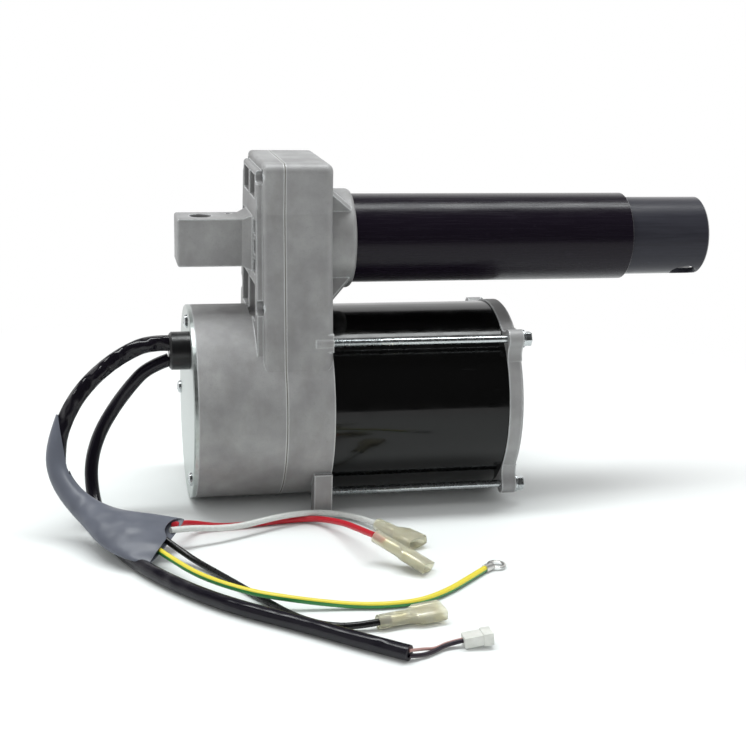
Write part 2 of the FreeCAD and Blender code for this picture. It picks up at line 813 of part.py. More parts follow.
def case_gasket():
    sheet_form = column_body("gasket_outer", "seam", "front_start")
    opening = outline_body("gasket_inner", "seam - overrun", "front_start + overrun", "case_wall")
    frame = cut("gasket_frame", sheet_form, opening)
    holes = [rod(f"gasket_hole_{i}", "case_screw_radius + run_gap", "seam - overrun",
                 "front_start + overrun", y, z)
             for i, (y, z, head) in enumerate(CASE_SCREWS, 1)]
    return cut("case_gasket", frame, *holes)


def case_screws():
    """Six pan-head screws that hold the two halves together."""
    screws = []
    for i, (y, z, head) in enumerate(CASE_SCREWS, 1):
        cap = rod(f"case_head_{i}", "case_head_radius", f"{head} - case_head_height", head, y, z)
        shank = rod(f"case_shank_{i}", "case_screw_radius", head, "front_start + case_screw_depth", y, z)
        screws.append(joined(f"case_screw_{i}", cap, shank))
    return group("case_screws", *screws)


# ---------------------------------------------------------------- rear cover and cable entry
def rear_cover():
    plate = turned("cover_plate", [
        ("cover_face", "0"), ("drum_back", "0"), ("drum_back", "drum_radius"),
        ("cover_face + cover_thickness / 4", "drum_radius"),
        ("cover_face", "drum_radius - cover_thickness / 4")],
        z="-axis_gap")
    holes = [rod(f"cover_hole_{i}", "cover_screw_radius + run_gap", "cover_face - overrun",
                 "drum_back + overrun", y, z)
             for i, (y, z) in enumerate(cover_screw_places(), 1)]
    entry = rod("cable_hole", "grommet_neck_radius", "cover_face - overrun", "drum_back + overrun",
                "-grommet_side", "grommet_z")
    return cut("rear_cover", plate, entry, *holes)


def rear_cover_screws():
    screws = []
    for i, (y, z) in enumerate(cover_screw_places(), 1):
        cap = rod(f"cover_head_{i}", "cover_head_radius", "cover_face - cover_head_height",
                  "cover_face", y, z)
        shank = rod(f"cover_shank_{i}", "cover_screw_radius", "cover_face",
                    "cover_face + cover_screw_length", y, z)
        screws.append(joined(f"cover_screw_{i}", cap, shank))
    return group("rear_cover_screws", *screws)


def cable_grommet(*leads):
    """The turned rubber entry, with room cut for the leads that pass it."""
    blank = turned("grommet_blank", [
        ("grommet_face", "0"), ("drum_back + grommet_lip", "0"),
        ("drum_back + grommet_lip", "grommet_radius"), ("drum_back", "grommet_radius"),
        ("drum_back", "grommet_neck_radius"), ("cover_face", "grommet_neck_radius"),
        ("cover_face", "grommet_radius"), ("grommet_face + grommet_edge", "grommet_radius"),
        ("grommet_face", "grommet_radius - grommet_edge")],
        y="-grommet_side", z="grommet_z")
    return cut("cable_grommet", blank, *leads)


# ---------------------------------------------------------------- guide tube, ram, screw, nut
def guide_tube():
    return turned("guide_tube", [
        ("tube_start", "tube_bore"), ("tube_start + tube_length", "tube_bore"),
        ("tube_start + tube_length", "tube_radius - tube_edge"),
        ("tube_start + tube_length - tube_edge", "tube_radius"), ("tube_start", "tube_radius")])


def radial_bar(name, radius, turn, start, end, x):
    """A round bar that points away from the screw, turned about it."""
    bar = doc.addObject("Part::Cylinder", name)
    bind(bar, Radius=radius, Height=f"({end}) - ({start})")
    facing = Rotation(Vector(1, 0, 0), turn)
    reach = facing.multVec(Vector(0, 0, size(start)))
    bar.Placement = Placement(Vector(size(x), reach.y, reach.z), facing)
    return bar


def pin_bore():
    """The cross hole for the mounting pin, with a chamfer at each mouth."""
    turn = -size("pin_turn")
    hole = radial_bar("pin_hole", "pin_bore_radius", turn, "-ram_radius - overrun",
                      "ram_radius + overrun", "pin_along")
    cones = []
    for name, flip in (("upper_mouth", 0), ("lower_mouth", 180)):
        cone = doc.addObject("Part::Cone", name)
        bind(cone, Radius1="pin_bore_radius", Radius2="pin_bore_radius + pin_edge * 2", Height="pin_edge * 2")
        facing = Rotation(Vector(1, 0, 0), turn + flip)
        reach = facing.multVec(Vector(0, 0, size("ram_radius - pin_edge * 2")))
        cone.Placement = Placement(Vector(size("pin_along"), reach.y, reach.z), facing)
        cones.append(cone)
    return [hole] + cones


def nut_pin_bars(name, start, end):
    """Three bars evenly round the screw, in the middle of the nut."""
    middle = "nut_back + nut_length / 2"
    return [radial_bar(f"{name}_{third + 1}", "nut_pin_radius", size("nut_pin_turn") + 120 * third,
                       start, end, middle)
            for third in range(3)]


def ram_tube():
    blank = turned("ram_blank", [
        ("ram_back", "ram_bore"), ("ram_front", "ram_bore"),
        ("ram_front", "ram_radius - ram_edge"), ("ram_front - ram_edge", "ram_radius"),
        ("ram_back + ram_edge", "ram_radius"), ("ram_back", "ram_radius - ram_edge")])
    return cut("ram_tube", blank, *pin_bore(),
               *nut_pin_bars("ram_pin_hole", "0", "ram_radius + overrun"))


def drive_nut():
    blank = turned("nut_blank", [
        ("nut_back", "thread_radius + tube_gap"),
        ("nut_back + nut_length", "thread_radius + tube_gap"),
        ("nut_back + nut_length", "ram_bore"), ("nut_back", "ram_bore")])
    return cut("drive_nut", blank,
               *nut_pin_bars("nut_hole", "ram_bore - nut_pin_depth", "ram_radius"))


def nut_pins():
    return group("nut_pins", *nut_pin_bars("nut_pin_bar", "ram_bore - nut_pin_depth",
                                           "ram_radius - tube_edge"))


def key_slot(name, low, high):
    return block(name, ("layer_three", "layer_end"), ("-key_width / 2", "key_width / 2"),
                 (low, high))


def lead_screw():
    """Journals, gear seat and thread turned on one bar; the thread form is left plain."""
    start = "back_bearing_start + loose_gap"
    thread_start = "tube_start + end_float"
    thread_end = f"{thread_start} + screw_length"
    blank = turned("screw_blank", [
        (start, "0"), (thread_end, "0"), (thread_end, "thread_radius - screw_chamfer"),
        (f"{thread_end} - screw_chamfer", "thread_radius"), (thread_start, "thread_radius"),
        (thread_start, "front_journal_radius"), ("layer_end", "front_journal_radius"),
        ("layer_end", "gear_seat_radius"), ("layer_three", "gear_seat_radius"),
        ("layer_three", "shoulder_radius"), ("cavity_back + end_float", "shoulder_radius"),
        ("cavity_back + end_float", "back_journal_radius"), (start, "back_journal_radius")])
    return cut("lead_screw", blank, key_slot("screw_keyway", "gear_seat_radius - key_depth",
                                             "shoulder_radius"))


# ---------------------------------------------------------------- bearings and bushes
def ball_bearing(name, bore, outer, start, width, z="0"):
    """A shielded bearing as one ring, with a shallow groove in each face."""
    end = f"{start} + {width}"
    low = f"{bore} + run_gap + race_depth"
    high = f"{outer} - race_depth"
    return turned(name, [
        (start, f"{bore} + run_gap"), (end, f"{bore} + run_gap"), (end, low),
        (f"{end} - shield_depth", low), (f"{end} - shield_depth", high), (end, high),
        (end, outer), (start, outer), (start, high), (f"{start} + shield_depth", high),
        (f"{start} + shield_depth", low), (start, low)], z=z)


def idler_bushes(name, y, z, back_start):
    """A bronze bush in each half of the case."""
    inner = "idler_radius + run_gap"
    back = ring(name + "_back", inner, "bush_radius", back_start, "cavity_back", y, z)
    front = ring(name + "_front", inner, "bush_radius", "cavity_front",
                 "cavity_front + bush_depth", y, z)
    return group(name, back, front)


# ---------------------------------------------------------------- gears
def involute(angle):
    return math.tan(angle) - angle


def tooth_half_angle(radius, pitch, base, teeth):
    """Half the angle that a tooth fills at a radius."""
    thick = math.pi / 2 / teeth - size("tooth_backlash") / 2 / pitch
    at_pitch = involute(math.radians(size("tooth_pressure")))
    here = involute(math.acos(base / max(radius, base)))
    return thick + at_pitch - here


def gear_face(module, teeth, bore, turn):
    """A flat gear in the YZ plane with the middle of one tooth at an angle from +Y."""
    pitch = module * teeth / 2
    base = pitch * math.cos(math.radians(size("tooth_pressure")))
    tip = pitch + size("tooth_addendum") * module
    root = pitch - size("tooth_dedendum") * module
    radii = [root, max(base, root + NEAR), pitch, tip]
    corners = []
    for tooth in range(teeth):
        middle = turn + 2 * math.pi * tooth / teeth
        rising = [(r, middle - tooth_half_angle(r, pitch, base, teeth)) for r in radii]
        falling = [(r, middle + tooth_half_angle(r, pitch, base, teeth)) for r in radii[::-1]]
        corners += [Vector(0, r * math.cos(a), r * math.sin(a)) for r, a in rising + falling]
    outline = Part.Face(Part.makePolygon(corners + corners[:1]))
    hole = Part.Face(Part.Wire(Part.makeCircle(bore, Vector(), Vector(1, 0, 0))))
    return outline.cut(hole)


def spur_gear(name, module, teeth, bore, turn, layer, y, z, groove=False):
    """A spur gear on a shaft along X; a wide one has a groove each side of its web."""
    count = int(size(teeth))
    width = size("gear_width")
    solid = gear_face(size(module), count, size(bore), turn).extrude(Vector(width, 0, 0))
    if groove:
        inner = size(bore) + size("boss_wall")
        outer = size(module) * (count / 2 - 2) - size("boss_wall") / 2
        depth = size("web_groove")
        for start in (-NEAR, width - depth):
            floor = Vector(start, 0, 0)
            disc = Part.makeCylinder(outer, depth + NEAR, floor, Vector(1, 0, 0))
            core = Part.makeCylinder(inner, depth + NEAR, floor, Vector(1, 0, 0))
            solid = solid.cut(disc.cut(core))
    gear = doc.addObject("Part::Feature", name)
    gear.Shape = solid
    gear.Placement = Placement()
    return set_down(gear, layer, y, z)


def facing_angle(y_from, z_from, y_to, z_to):
    """The angle from +Y of the line between two shafts."""
    return math.atan2(size(z_to) - size(z_from), size(y_to) - size(y_from))


def gap_turn(teeth, facing):
    """The turn that puts the middle of a tooth gap towards a mate."""
    return facing + math.pi / int(size(teeth))


def gear_train():
    """Three meshes, each pinion with a tooth and each wheel with a gap on the line of centres."""
    motor_to_first = facing_angle("0", "-axis_gap", "first_side", "first_height")
    first_to_second = facing_angle("first_side", "first_height", "second_side", "second_height")
    second_to_screw = facing_angle("second_side", "second_height", "0", "0")
    motor_pinion = spur_gear("motor_pinion", "fine_module", "pinion_teeth", "pinion_bore",
                             motor_to_first, "layer_one", "0", "-axis_gap")
    first_gear = spur_gear("first_idler_gear", "fine_module", "first_teeth", "idler_radius",
                           gap_turn("first_teeth", motor_to_first + math.pi), "layer_one",
                           "first_side", "first_height", True)
    first_pinion = spur_gear("first_idler_pinion", "middle_module", "pinion_teeth",
                             "idler_radius", first_to_second, "layer_two", "first_side",
                             "first_height")
    second_gear = spur_gear("second_idler_gear", "middle_module", "second_teeth",
                            "idler_radius",
                            gap_turn("second_teeth", first_to_second + math.pi), "layer_two",
                            "second_side", "second_height", True)
    second_pinion = spur_gear("second_idler_pinion", "coarse_module", "pinion_teeth",
                              "idler_radius", second_to_screw, "layer_three", "second_side",
                              "second_height")
    screw_wheel = spur_gear("screw_wheel", "coarse_module", "third_teeth", "gear_seat_radius",
                            gap_turn("third_teeth", second_to_screw + math.pi), "layer_three",
                            "0", "0", True)
    screw_gear = cut("screw_gear", screw_wheel,
                     key_slot("gear_keyway", "0", "gear_seat_radius + key_height"))
    key = key_slot("screw_gear_key", "gear_seat_radius - key_depth", "gear_seat_radius + key_height")
    return [motor_pinion, first_gear, first_pinion, second_gear, second_pinion, screw_gear, key]


def idler_shafts():
    first = rod("first_idler_shaft", "idler_radius", "tail_end", "idler_front", "first_side",
                "first_height")
    second = rod("second_idler_shaft", "idler_radius", "cavity_back - bush_depth + end_float",
                 "idler_front", "second_side", "second_height")
    return [first, second]


def position_sensor():
    """A magnet on the tail of the first idler and the small board that counts its turns."""
    magnet = ring("sensor_magnet", "idler_radius", "magnet_radius", "magnet_back",
                  "magnet_back + magnet_width", "first_side", "first_height")
    left = "first_side - board_width / 3"
    right = "first_side + board_width * 2 / 3"
    board = block("sensor_board", ("board_back", "board_back + board_thickness"), (left, right),
                  ("first_height - board_height / 2", "first_height + board_height / 2"))
    bracket = block("sensor_bracket", ("board_back + board_thickness", "web_back"),
                    (f"{right} - bracket_width", right),
                    ("first_height - board_height / 2", "first_height + board_height / 2"))
    return [magnet, board, bracket]


# ---------------------------------------------------------------- motor
def rotor_shaft():
    start = "layer_one - gear_gap / 2"
    step = "layer_one + gear_width"
    end = "bell_bearing_end"
    return turned("rotor_shaft", [
        (start, "0"), (end, "0"), (end, "shaft_radius"),
        ("bell_bearing_start - end_float", "shaft_radius"),
        ("bell_bearing_start - end_float", "core_shaft_radius"),
        ("front_face + end_float", "core_shaft_radius"), ("front_face + end_float", "shaft_radius"),
        (step, "shaft_radius"), (step, "pinion_bore"), (start, "pinion_bore")],
        z="-axis_gap")


def rotor_core():
    return ring("rotor_core", "core_shaft_radius", "core_radius", "core_back", "core_front",
                z="-axis_gap")


def rotor_end_rings():
    outer = "core_radius - end_ring_inset"
    back = ring("end_ring_back", "end_ring_inner", outer, "core_back - end_ring_length", "core_back",
                z="-axis_gap")
    front = ring("end_ring_front", "end_ring_inner", outer, "core_front",
                 "core_front + end_ring_length", z="-axis_gap")
    return group("rotor_end_rings", back, front)


def coil(name, start, end):
    """One end turn of the winding, as a ring with eased edges."""
    r = "coil_round"
    return turned(name, [
        (start, f"coil_inner + {r}"), (f"{start} + {r}", "coil_inner"),
        (f"{end} - {r}", "coil_inner"), (end, f"coil_inner + {r}"),
        (end, f"coil_outer - {r}"), (f"{end} - {r}", "coil_outer"),
        (f"{start} + {r}", "coil_outer"), (start, f"coil_outer - {r}")], z="-axis_gap")


def stator():
    core = ring("stator_core", "stator_bore", "shell_bore - run_gap", "stator_back",
                "stator_front", z="-axis_gap")
    back = coil("coil_back", "stator_back - coil_length", "stator_back")
    front = coil("coil_front", "stator_front", "stator_front + coil_length")
    windings = group("stator_windings", back, front)
    shell = ring("stator_shell", "shell_bore", "shell_radius", "front_face", "shell_end",
                 z="-axis_gap")
    return [core, windings, shell]


def end_bell():
    """The cast end cap: rim, spigot, bearing hub and four lugs for the tie bolts."""
    rim_in = "shell_bore - spigot_wall"
    disc = turned("bell_disc", [
        ("bell_bearing_start", "motor_bearing_radius"), ("bell_face - hub_rise", "motor_bearing_radius"),
        ("bell_face - hub_rise", "0"), ("bell_face + hub_rise", "0"),
        ("bell_face + hub_rise", "hub_radius - hub_rise"),
        ("bell_face", "hub_radius"), ("bell_face", "drum_radius - bell_edge"),
        ("bell_face - bell_edge", "drum_radius"), ("shell_end", "drum_radius"),
        ("shell_end", "shell_bore - run_gap"), ("shell_end - spigot_length", "shell_bore - run_gap"),
        ("shell_end - spigot_length", rim_in), ("shell_end + spigot_length / 2", rim_in),
        ("shell_end + spigot_length / 2", "hub_radius"), ("bell_bearing_start", "hub_radius")],
        z="-axis_gap")
    lugs = [bell_lug(i, a, b) for i, (a, b) in enumerate(CORNERS, 1)]
    holes = [rod(f"bell_hole_{i}", "bolt_radius + loose_gap", "shell_end - overrun",
                 "bell_face + overrun", y, z)
             for i, (y, z) in enumerate(tie_places(), 1)]
    return cut("end_bell", joined("bell_solid", disc, *lugs), *holes)


def bell_lug(i, a, b):
    """A round lug for a tie bolt that flows into the rim through two hollow curves."""
    web = new_body(f"bell_web_{i}", "-axis_gap")
    sketch = new_sketch(web, f"bell_web_outline_{i}", "YZ", "shell_end")
    draw(sketch, [(f"{a}hub_radius", f"{b}hub_radius"), (f"{a}blend_far", f"{b}blend_near"),
                  (f"{a}bolt_pitch", f"{b}bolt_pitch"), (f"{a}blend_near", f"{b}blend_far")])
    pad(web, f"bell_web_pad_{i}", sketch, "bell_thickness")
    hollows = [rod(f"bell_hollow_{i}_{way}", "lug_blend", "shell_end - overrun",
                   "bell_face + overrun", f"{a}{across}", f"-axis_gap + ({b}{up})")
               for way, across, up in ((1, "blend_far", "blend_near"),
                                       (2, "blend_near", "blend_far"))]
    arm = cut(f"bell_arm_{i}", web, *hollows)
    end = rod(f"bell_lug_{i}", "lug_radius", "shell_end", "bell_face", f"{a}bolt_pitch",
              f"-axis_gap + ({b}bolt_pitch)")
    return joined(f"bell_corner_{i}", arm, end)


def tie_bolts():
    bolts = []
    thread_start = "front_face - bolt_depth"
    head_start = "bell_face + washer_thickness"
    for i, (y, z) in enumerate(tie_places(), 1):
        thread = rod(f"tie_thread_{i}", "bolt_thread_radius", thread_start,
                     f"{thread_start} + bolt_thread_length", y, z)
        shank = rod(f"tie_shank_{i}", "bolt_radius", thread_start, head_start, y, z)
        head = hexagon_rod(f"tie_head_{i}", "bolt_head_radius", head_start,
                           f"{head_start} + bolt_head_height", y, z)
        bolts.append(joined(f"tie_bolt_{i}", thread, shank, head))
    return group("tie_bolts", *bolts)


def tie_washers():
    rings = [ring(f"tie_washer_{i}", "bolt_radius + loose_gap", "washer_radius", "bell_face",
                  "bell_face + washer_thickness", y, z)
             for i, (y, z) in enumerate(tie_places(), 1)]
    return group("tie_washers", *rings)


def wave_washer():
    return ring("wave_washer", "motor_bearing_radius - race_depth * 2", "motor_bearing_radius - loose_gap",
                "bell_bearing_end", "bell_bearing_end + wave_thickness", z="-axis_gap")


# ---------------------------------------------------------------- wiring
def tube_route(points):
    """Straight runs joined by tangent arcs, each as large as its two runs allow."""
    places = [Vector(*point) for point in points]
    radii = []
    edges = []
    start = places[0]
    for before, here, after in zip(places, places[1:], places[2:]):
        into = here - before
        out = after - here
        shorter = min(into.Length, out.Length)
        turn = into.getAngle(out)
        radius = 0.45 * shorter / math.tan(turn / 2)
        reach = 0.45 * shorter
        into.normalize()
        out.normalize()
        arc_start = here - into * reach
        arc_end = here + out * reach
        bisector = out - into
        bisector.normalize()
        centre = here + bisector * math.hypot(radius, reach)
        arc_middle = centre - bisector * radius
        edges.append(Part.LineSegment(start, arc_start).toShape())
        edges.append(Part.Arc(arc_start, arc_middle, arc_end).toShape())
        radii.append(radius)
        start = arc_end
    edges.append(Part.LineSegment(start, places[-1]).toShape())
    return Part.Wire(edges), radii


def tube(radius, points):
    """A round tube along a route, with the route itself and the radii of its bends."""
    route, radii = tube_route(points)
    heading = Vector(*points[1]) - Vector(*points[0])
    section = Part.Wire(Part.makeCircle(radius, Vector(*points[0]), heading))
    return route.makePipeShell([section], True, False), route, radii


def cord(name, radius_name, points):
    """A cord's own solid; it prints its length and bends."""
    radius = size(radius_name)
    solid, route, radii = tube(radius, points)
    expected = math.pi * radius ** 2 * route.Length
    print(f"{name}: {route.Length:.1f} mm long, radii {[round(r) for r in radii]},"
          f" volume {solid.Volume / expected:.3f} of section x length")
    piece = doc.addObject("Part::Feature", name)
    piece.Shape = solid
    return piece


def room(name, radius_name, points):
    """A cord's tube with a running gap round it, which cuts its room in another piece."""
    piece = doc.addObject("Part::Feature", name)
    piece.Shape = tube(size(radius_name + " + run_gap"), points)[0]
    return piece


LEAD_SLEEVE_ROUTE = [
    (-16.4, -20.0, -44.6), (-25.6, -20.8, -44.0), (-36.6, -23.0, -48.2), (-47.4, -26.2, -55.0),
    (-57.0, -30.0, -64.0), (-63.6, -33.6, -74.4), (-67.6, -37.6, -85.2)]
SENSOR_SLEEVE_ROUTE = [
    (-16.4, -20.0, -52.4), (-26.0, -19.6, -55.8), (-34.0, -18.6, -64.6), (-42.4, -18.2, -76.0),
    (-49.5, -20.5, -88.0), (-53.2, -26.5, -100.0), (-52.6, -34.5, -111.4), (-49.8, -46.0, -119.4),
    (-46.0, -60.0, -121.7), (-42.4, -76.0, -121.7), (-36.6, -90.0, -121.7),
    (-28.6, -104.6, -121.7), (-18.4, -119.4, -121.7), (-6.4, -134.0, -121.7),
    (6.4, -147.6, -121.7), (20.4, -159.6, -121.7), (34.0, -171.2, -121.7),
    (47.0, -182.2, -121.7), (60.6, -191.8, -121.7)]
WHITE_ROUTE = [
    (-19.9, -74.8, -114.8), (-10.5, -69.0, -116.0), (2.5, -62.4, -116.8), (13.5, -56.2, -117.2),
    (27.0, -46.6, -117.2), (38.0, -42.2, -120.4), (48.5, -41.2, -122.9), (58.0, -46.2, -123.1),
    (66.0, -55.6, -122.4), (72.6, -64.2, -121.9)]
RED_ROUTE = [
    (-18.1, -71.5, -113.7), (-12.6, -62.4, -117.2), (-5.5, -54.6, -121.2), (4.0, -51.4, -123.2),
    (15.0, -51.0, -123.4), (27.0, -48.6, -123.4), (39.5, -47.8, -123.2), (49.6, -54.0, -121.8),
    (56.6, -64.4, -120.0), (62.4, -77.0, -118.2), (66.8, -87.0, -117.2), (71.0, -95.0, -117.2)]
BLACK_ROUTE = [
    (-22.8, -80.3, -116.5), (-15.0, -84.4, -120.2), (-7.6, -93.4, -123.2), (0.4, -106.4, -123.4),
    (9.0, -121.4, -123.4), (17.6, -137.0, -123.4), (26.0, -151.4, -123.4), (34.6, -160.4, -123.4),
    (44.8, -163.6, -122.9), (54.0, -163.4, -121.9)]
EARTH_ROUTE = [
    (-26.3, -86.6, -118.5), (-20.0, -98.6, -118.8), (-11.6, -113.4, -118.0),
    (-1.4, -128.4, -117.4), (11.6, -138.6, -117.2), (26.0, -142.2, -117.2),
    (38.6, -143.8, -120.8), (51.0, -145.8, -123.2), (64.4, -145.8, -123.4),
    (78.0, -143.2, -123.4), (90.0, -136.4, -123.4), (101.4, -125.4, -123.4),
    (110.6, -115.6, -123.4)]
FINE_WIRE_ROUTE = [
    (60.6, -191.8, -121.7), (66.4, -189.6, -122.6), (72.8, -185.0, -123.2),
    (78.8, -182.6, -122.9)]
# How far along the way from the cable entry to the hole in the web each turn of the inner leads is.
INNER_TURNS = [(0.22, 0.08, 0.12), (0.45, 0.45, 0.45), (0.70, 0.92, 0.82)]


def inner_route():
    """From the grommet, through the hole in each wall, to the back of the windings."""
    entry = Vector(size("drum_back + grommet_lip"), size("-grommet_side"), size("grommet_z"))
    wall = Vector(size("web_back - gear_gap * 3"), size("-lead_side"), size("lead_height"))
    way = wall - entry
    turns = [entry + Vector(way.x * x, way.y * y, way.z * z) for x, y, z in INNER_TURNS]
    middle = Vector(size("cavity_front - front_wall"), wall.y, wall.z - size("gear_gap"))
    end = Vector(size("stator_back - coil_length - end_float"), wall.y, wall.z)
    return [entry, *turns, wall, middle, end]


# The shrink sleeve: where each section stands, which way its long axis lies, and its two radii.
JUNCTION_SECTIONS = [
    ((-67.6, -37.6, -85.2), (0.92, 0.10, -0.37), 4.7, 4.6),
    ((-68.8, -42.0, -93.6), (0.96, 0.16, -0.24), 4.7, 4.6),
    ((-65.4, -47.6, -101.6), (0.88, 0.44, 0.16), 4.7, 4.6),
    ((-58.8, -54.4, -108.2), (0.76, 0.58, 0.28), 4.9, 4.8),
    ((-50.6, -63.4, -111.2), (0.70, 0.62, 0.36), 5.8, 4.6),
    ((-43.0, -71.8, -112.0), (0.64, 0.68, 0.36), 7.6, 4.2),
    ((-35.0, -77.8, -113.0), (0.58, 0.74, 0.33), 10.0, 3.7),
    ((-28.6, -80.4, -114.8), (0.52, 0.80, 0.30), 12.4, 3.3),
    ((-23.5, -81.5, -116.6), (0.455, 0.849, 0.269), 14.4, 3.0)]


def junction_sleeve(*leads):
    """The shrink sleeve over the lead, which widens and flattens to its open mouth."""
    places = [Vector(*section[0]) for section in JUNCTION_SECTIONS]
    wires = []
    for i, (place, lie, wide, thick) in enumerate(JUNCTION_SECTIONS):
        middle = places[i]
        heading = places[min(i + 1, len(places) - 1)] - places[max(i - 1, 0)]
        across = Vector(*lie)
        outline = Part.Ellipse(Vector(), wide, thick).toShape()
        lay = Rotation(across, heading.cross(across), Vector(), "XYZ")
        outline.Placement = Placement(middle, lay)
        wires.append(Part.Wire(outline))
    blank = doc.addObject("Part::Feature", "junction_blank")
    blank.Shape = Part.makeLoft(wires, True)
    return cut("junction_sleeve", blank, *leads)


def facing(start, toward, roll=0):
    """A placement whose local X points from one point to another."""
    heading = Vector(*toward) - Vector(*start)
    spin = Rotation(Vector(1, 0, 0), heading)
    return Placement(Vector(*start), spin * Rotation(Vector(1, 0, 0), roll))


def boot(name, wire, start, toward, roll):
    """The soft cover of a push-on connector: a round barrel that opens into a flat hood."""
    barrel_length = size("barrel_length")
    radius = size("barrel_radius")
    width = size("boot_width")
    height = size("boot_height")
    neck = size("boot_length") / 4
    barrel = Part.makeCylinder(radius, barrel_length, Vector(), Vector(1, 0, 0))
    hood = Part.makeBox(size("boot_length") - neck, width, height,
                        Vector(barrel_length + neck, -width / 2, -height / 2))
    small = rectangle(barrel_length, radius * 1.6, radius * 1.6)
    large = rectangle(barrel_length + neck, width, height)
    flare = Part.makeLoft([small, large], True, True)
    blank = doc.addObject("Part::Feature", name + "_blank")
    blank.Shape = barrel.multiFuse([hood, flare]).removeSplitter()
    blank.Placement = facing(start, toward, roll)
    return cut(name, blank, wire)


def rectangle(along, width, height):
    corners = [Vector(along, a * width / 2, b * height / 2)
               for a, b in ((1, 1), (-1, 1), (-1, -1), (1, -1))]
    return Part.makePolygon(corners + corners[:1])


def ring_terminal(wire, start, toward):
    barrel_length = size("ring_barrel")
    outer = size("ring_outer_radius")
    thick = size("ring_thickness")
    radius = size("wire_radius") + thick / 2
    barrel = Part.makeCylinder(radius, barrel_length, Vector(), Vector(1, 0, 0))
    eye_centre = Vector(barrel_length + outer - thick, 0, -thick / 2)
    eye = Part.makeCylinder(outer, thick, eye_centre)
    hole = Part.makeCylinder(size("ring_hole_radius"), thick, eye_centre)
    blank = doc.addObject("Part::Feature", "ring_blank")
    blank.Shape = barrel.fuse(eye).cut(hole).removeSplitter()
    blank.Placement = facing(start, toward)
    return cut("ring_terminal", blank, wire)


def small_connector(wire, start, toward):
    length = size("plug_length")
    width = size("plug_width")
    height = size("plug_height")
    step = height / 4
    housing = Part.makeBox(length, width, height, Vector(0, -width / 2, -height / 2))
    rim = Part.makeBox(length / 3, width + step, height + step,
                       Vector(length * 2 / 3, -(width + step) / 2, -(height + step) / 2))
    blank = doc.addObject("Part::Feature", "plug_blank")
    blank.Shape = housing.fuse(rim).removeSplitter()
    blank.Placement = facing(start, toward)
    return cut("small_connector", blank, wire)


def wiring():
    """The leads, the grommet and sleeve that they pass, and what is on their ends."""
    inner = inner_route()
    lead_room = room("lead_room", "lead_sleeve_radius", LEAD_SLEEVE_ROUTE)
    sensor_room = room("sensor_room", "sensor_sleeve_radius", SENSOR_SLEEVE_ROUTE)
    inner_room = room("inner_room", "inner_lead_radius", inner)
    white_room = room("white_room", "wire_radius", WHITE_ROUTE)
    red_room = room("red_room", "wire_radius", RED_ROUTE)
    black_room = room("black_room", "wire_radius", BLACK_ROUTE)
    earth_room = room("earth_room", "wire_radius", EARTH_ROUTE)
    fine_room = room("fine_room", "fine_wire_radius", FINE_WIRE_ROUTE)
    sleeve = cord("sensor_sleeve_blank", "sensor_sleeve_radius", SENSOR_SLEEVE_ROUTE)
    return [
        cable_grommet(lead_room, sensor_room, inner_room),
        cord("motor_lead_sleeve", "lead_sleeve_radius", LEAD_SLEEVE_ROUTE),
        cut("sensor_lead_sleeve", sleeve, fine_room),
        junction_sleeve(lead_room, sensor_room, white_room, red_room, black_room, earth_room),
        cord("white_wire", "wire_radius", WHITE_ROUTE),
        cord("red_wire", "wire_radius", RED_ROUTE),
        cord("black_wire", "wire_radius", BLACK_ROUTE),
        cord("earth_wire", "wire_radius", EARTH_ROUTE),
        cord("fine_wire", "fine_wire_radius", FINE_WIRE_ROUTE),
        cord("inner_leads", "inner_lead_radius", inner),
        boot("white_boot", white_room, WHITE_ROUTE[-1], (90.6, -85.8, -121.5), 6),
        boot("red_boot", red_room, RED_ROUTE[-1], (86.4, -117.9, -121.9), -6),
        boot("black_boot", black_room, BLACK_ROUTE[-1], (82.1, -156.7, -121.3), 5),
        ring_terminal(earth_room, EARTH_ROUTE[-1], (117.6, -110.6, -123.6)),
        small_connector(fine_room, FINE_WIRE_ROUTE[-1], (90.0, -182.6, -121.6)),
    ]


# ---------------------------------------------------------------- assembly
NODES = [
    gearcase_rear(), gearcase_front(), case_gasket(), case_screws(), rear_cover(),
    rear_cover_screws(), guide_tube(), ram_tube(), drive_nut(), nut_pins(), lead_screw(),
    ball_bearing("screw_rear_bearing", "back_journal_radius", "back_bearing_radius", "back_bearing_start",
                 "back_bearing_width"),
    ball_bearing("screw_front_bearing", "front_journal_radius", "front_bearing_radius",
                 "front_bearing_start", "front_bearing_width"),
    ball_bearing("rotor_front_bearing", "shaft_radius", "motor_bearing_radius",
                 "motor_bearing_start", "motor_bearing_width", "-axis_gap"),
    ball_bearing("rotor_rear_bearing", "shaft_radius", "motor_bearing_radius",
                 "bell_bearing_start", "motor_bearing_width", "-axis_gap"),
    idler_bushes("first_shaft_bushes", "first_side", "first_height", "web_back - bush_depth"),
    idler_bushes("second_shaft_bushes", "second_side", "second_height",
                 "cavity_back - bush_depth"),
    *gear_train(), *idler_shafts(), *position_sensor(),
    rotor_shaft(), rotor_core(), rotor_end_rings(), *stator(), end_bell(), tie_bolts(),
    tie_washers(), wave_washer(), *wiring(),
]

doc.recompute()

faults = [o.Name for o in doc.Objects if "Invalid" in o.State or "Error" in o.State]
for node in NODES:
    if node.Shape.isNull() or not node.Shape.isValid() or not node.Shape.Solids:
        faults.append(node.Name + " shape")
if faults:
    raise RuntimeError("failed: " + ", ".join(faults))

for node in NODES:
    node.Label = node.Name
    node.Shape.exportStep(f"parts/{node.Label}.step")
print(f"{len(NODES)} nodes")
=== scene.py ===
# %% [markdown]
# # A lift actuator, dressed in Blender
# A mains motor lies under a cast gearbox. The gearbox turns a lead screw, and the screw pushes a
# black tube, the ram, out of a fixed guide tube. The engineering model gives every solid its size
# and place. This lesson gives those solids their finishes, remodels the ones whose beauty is in
# small detail, and lights them. Everything is in metres, in the engineering model's own frame.

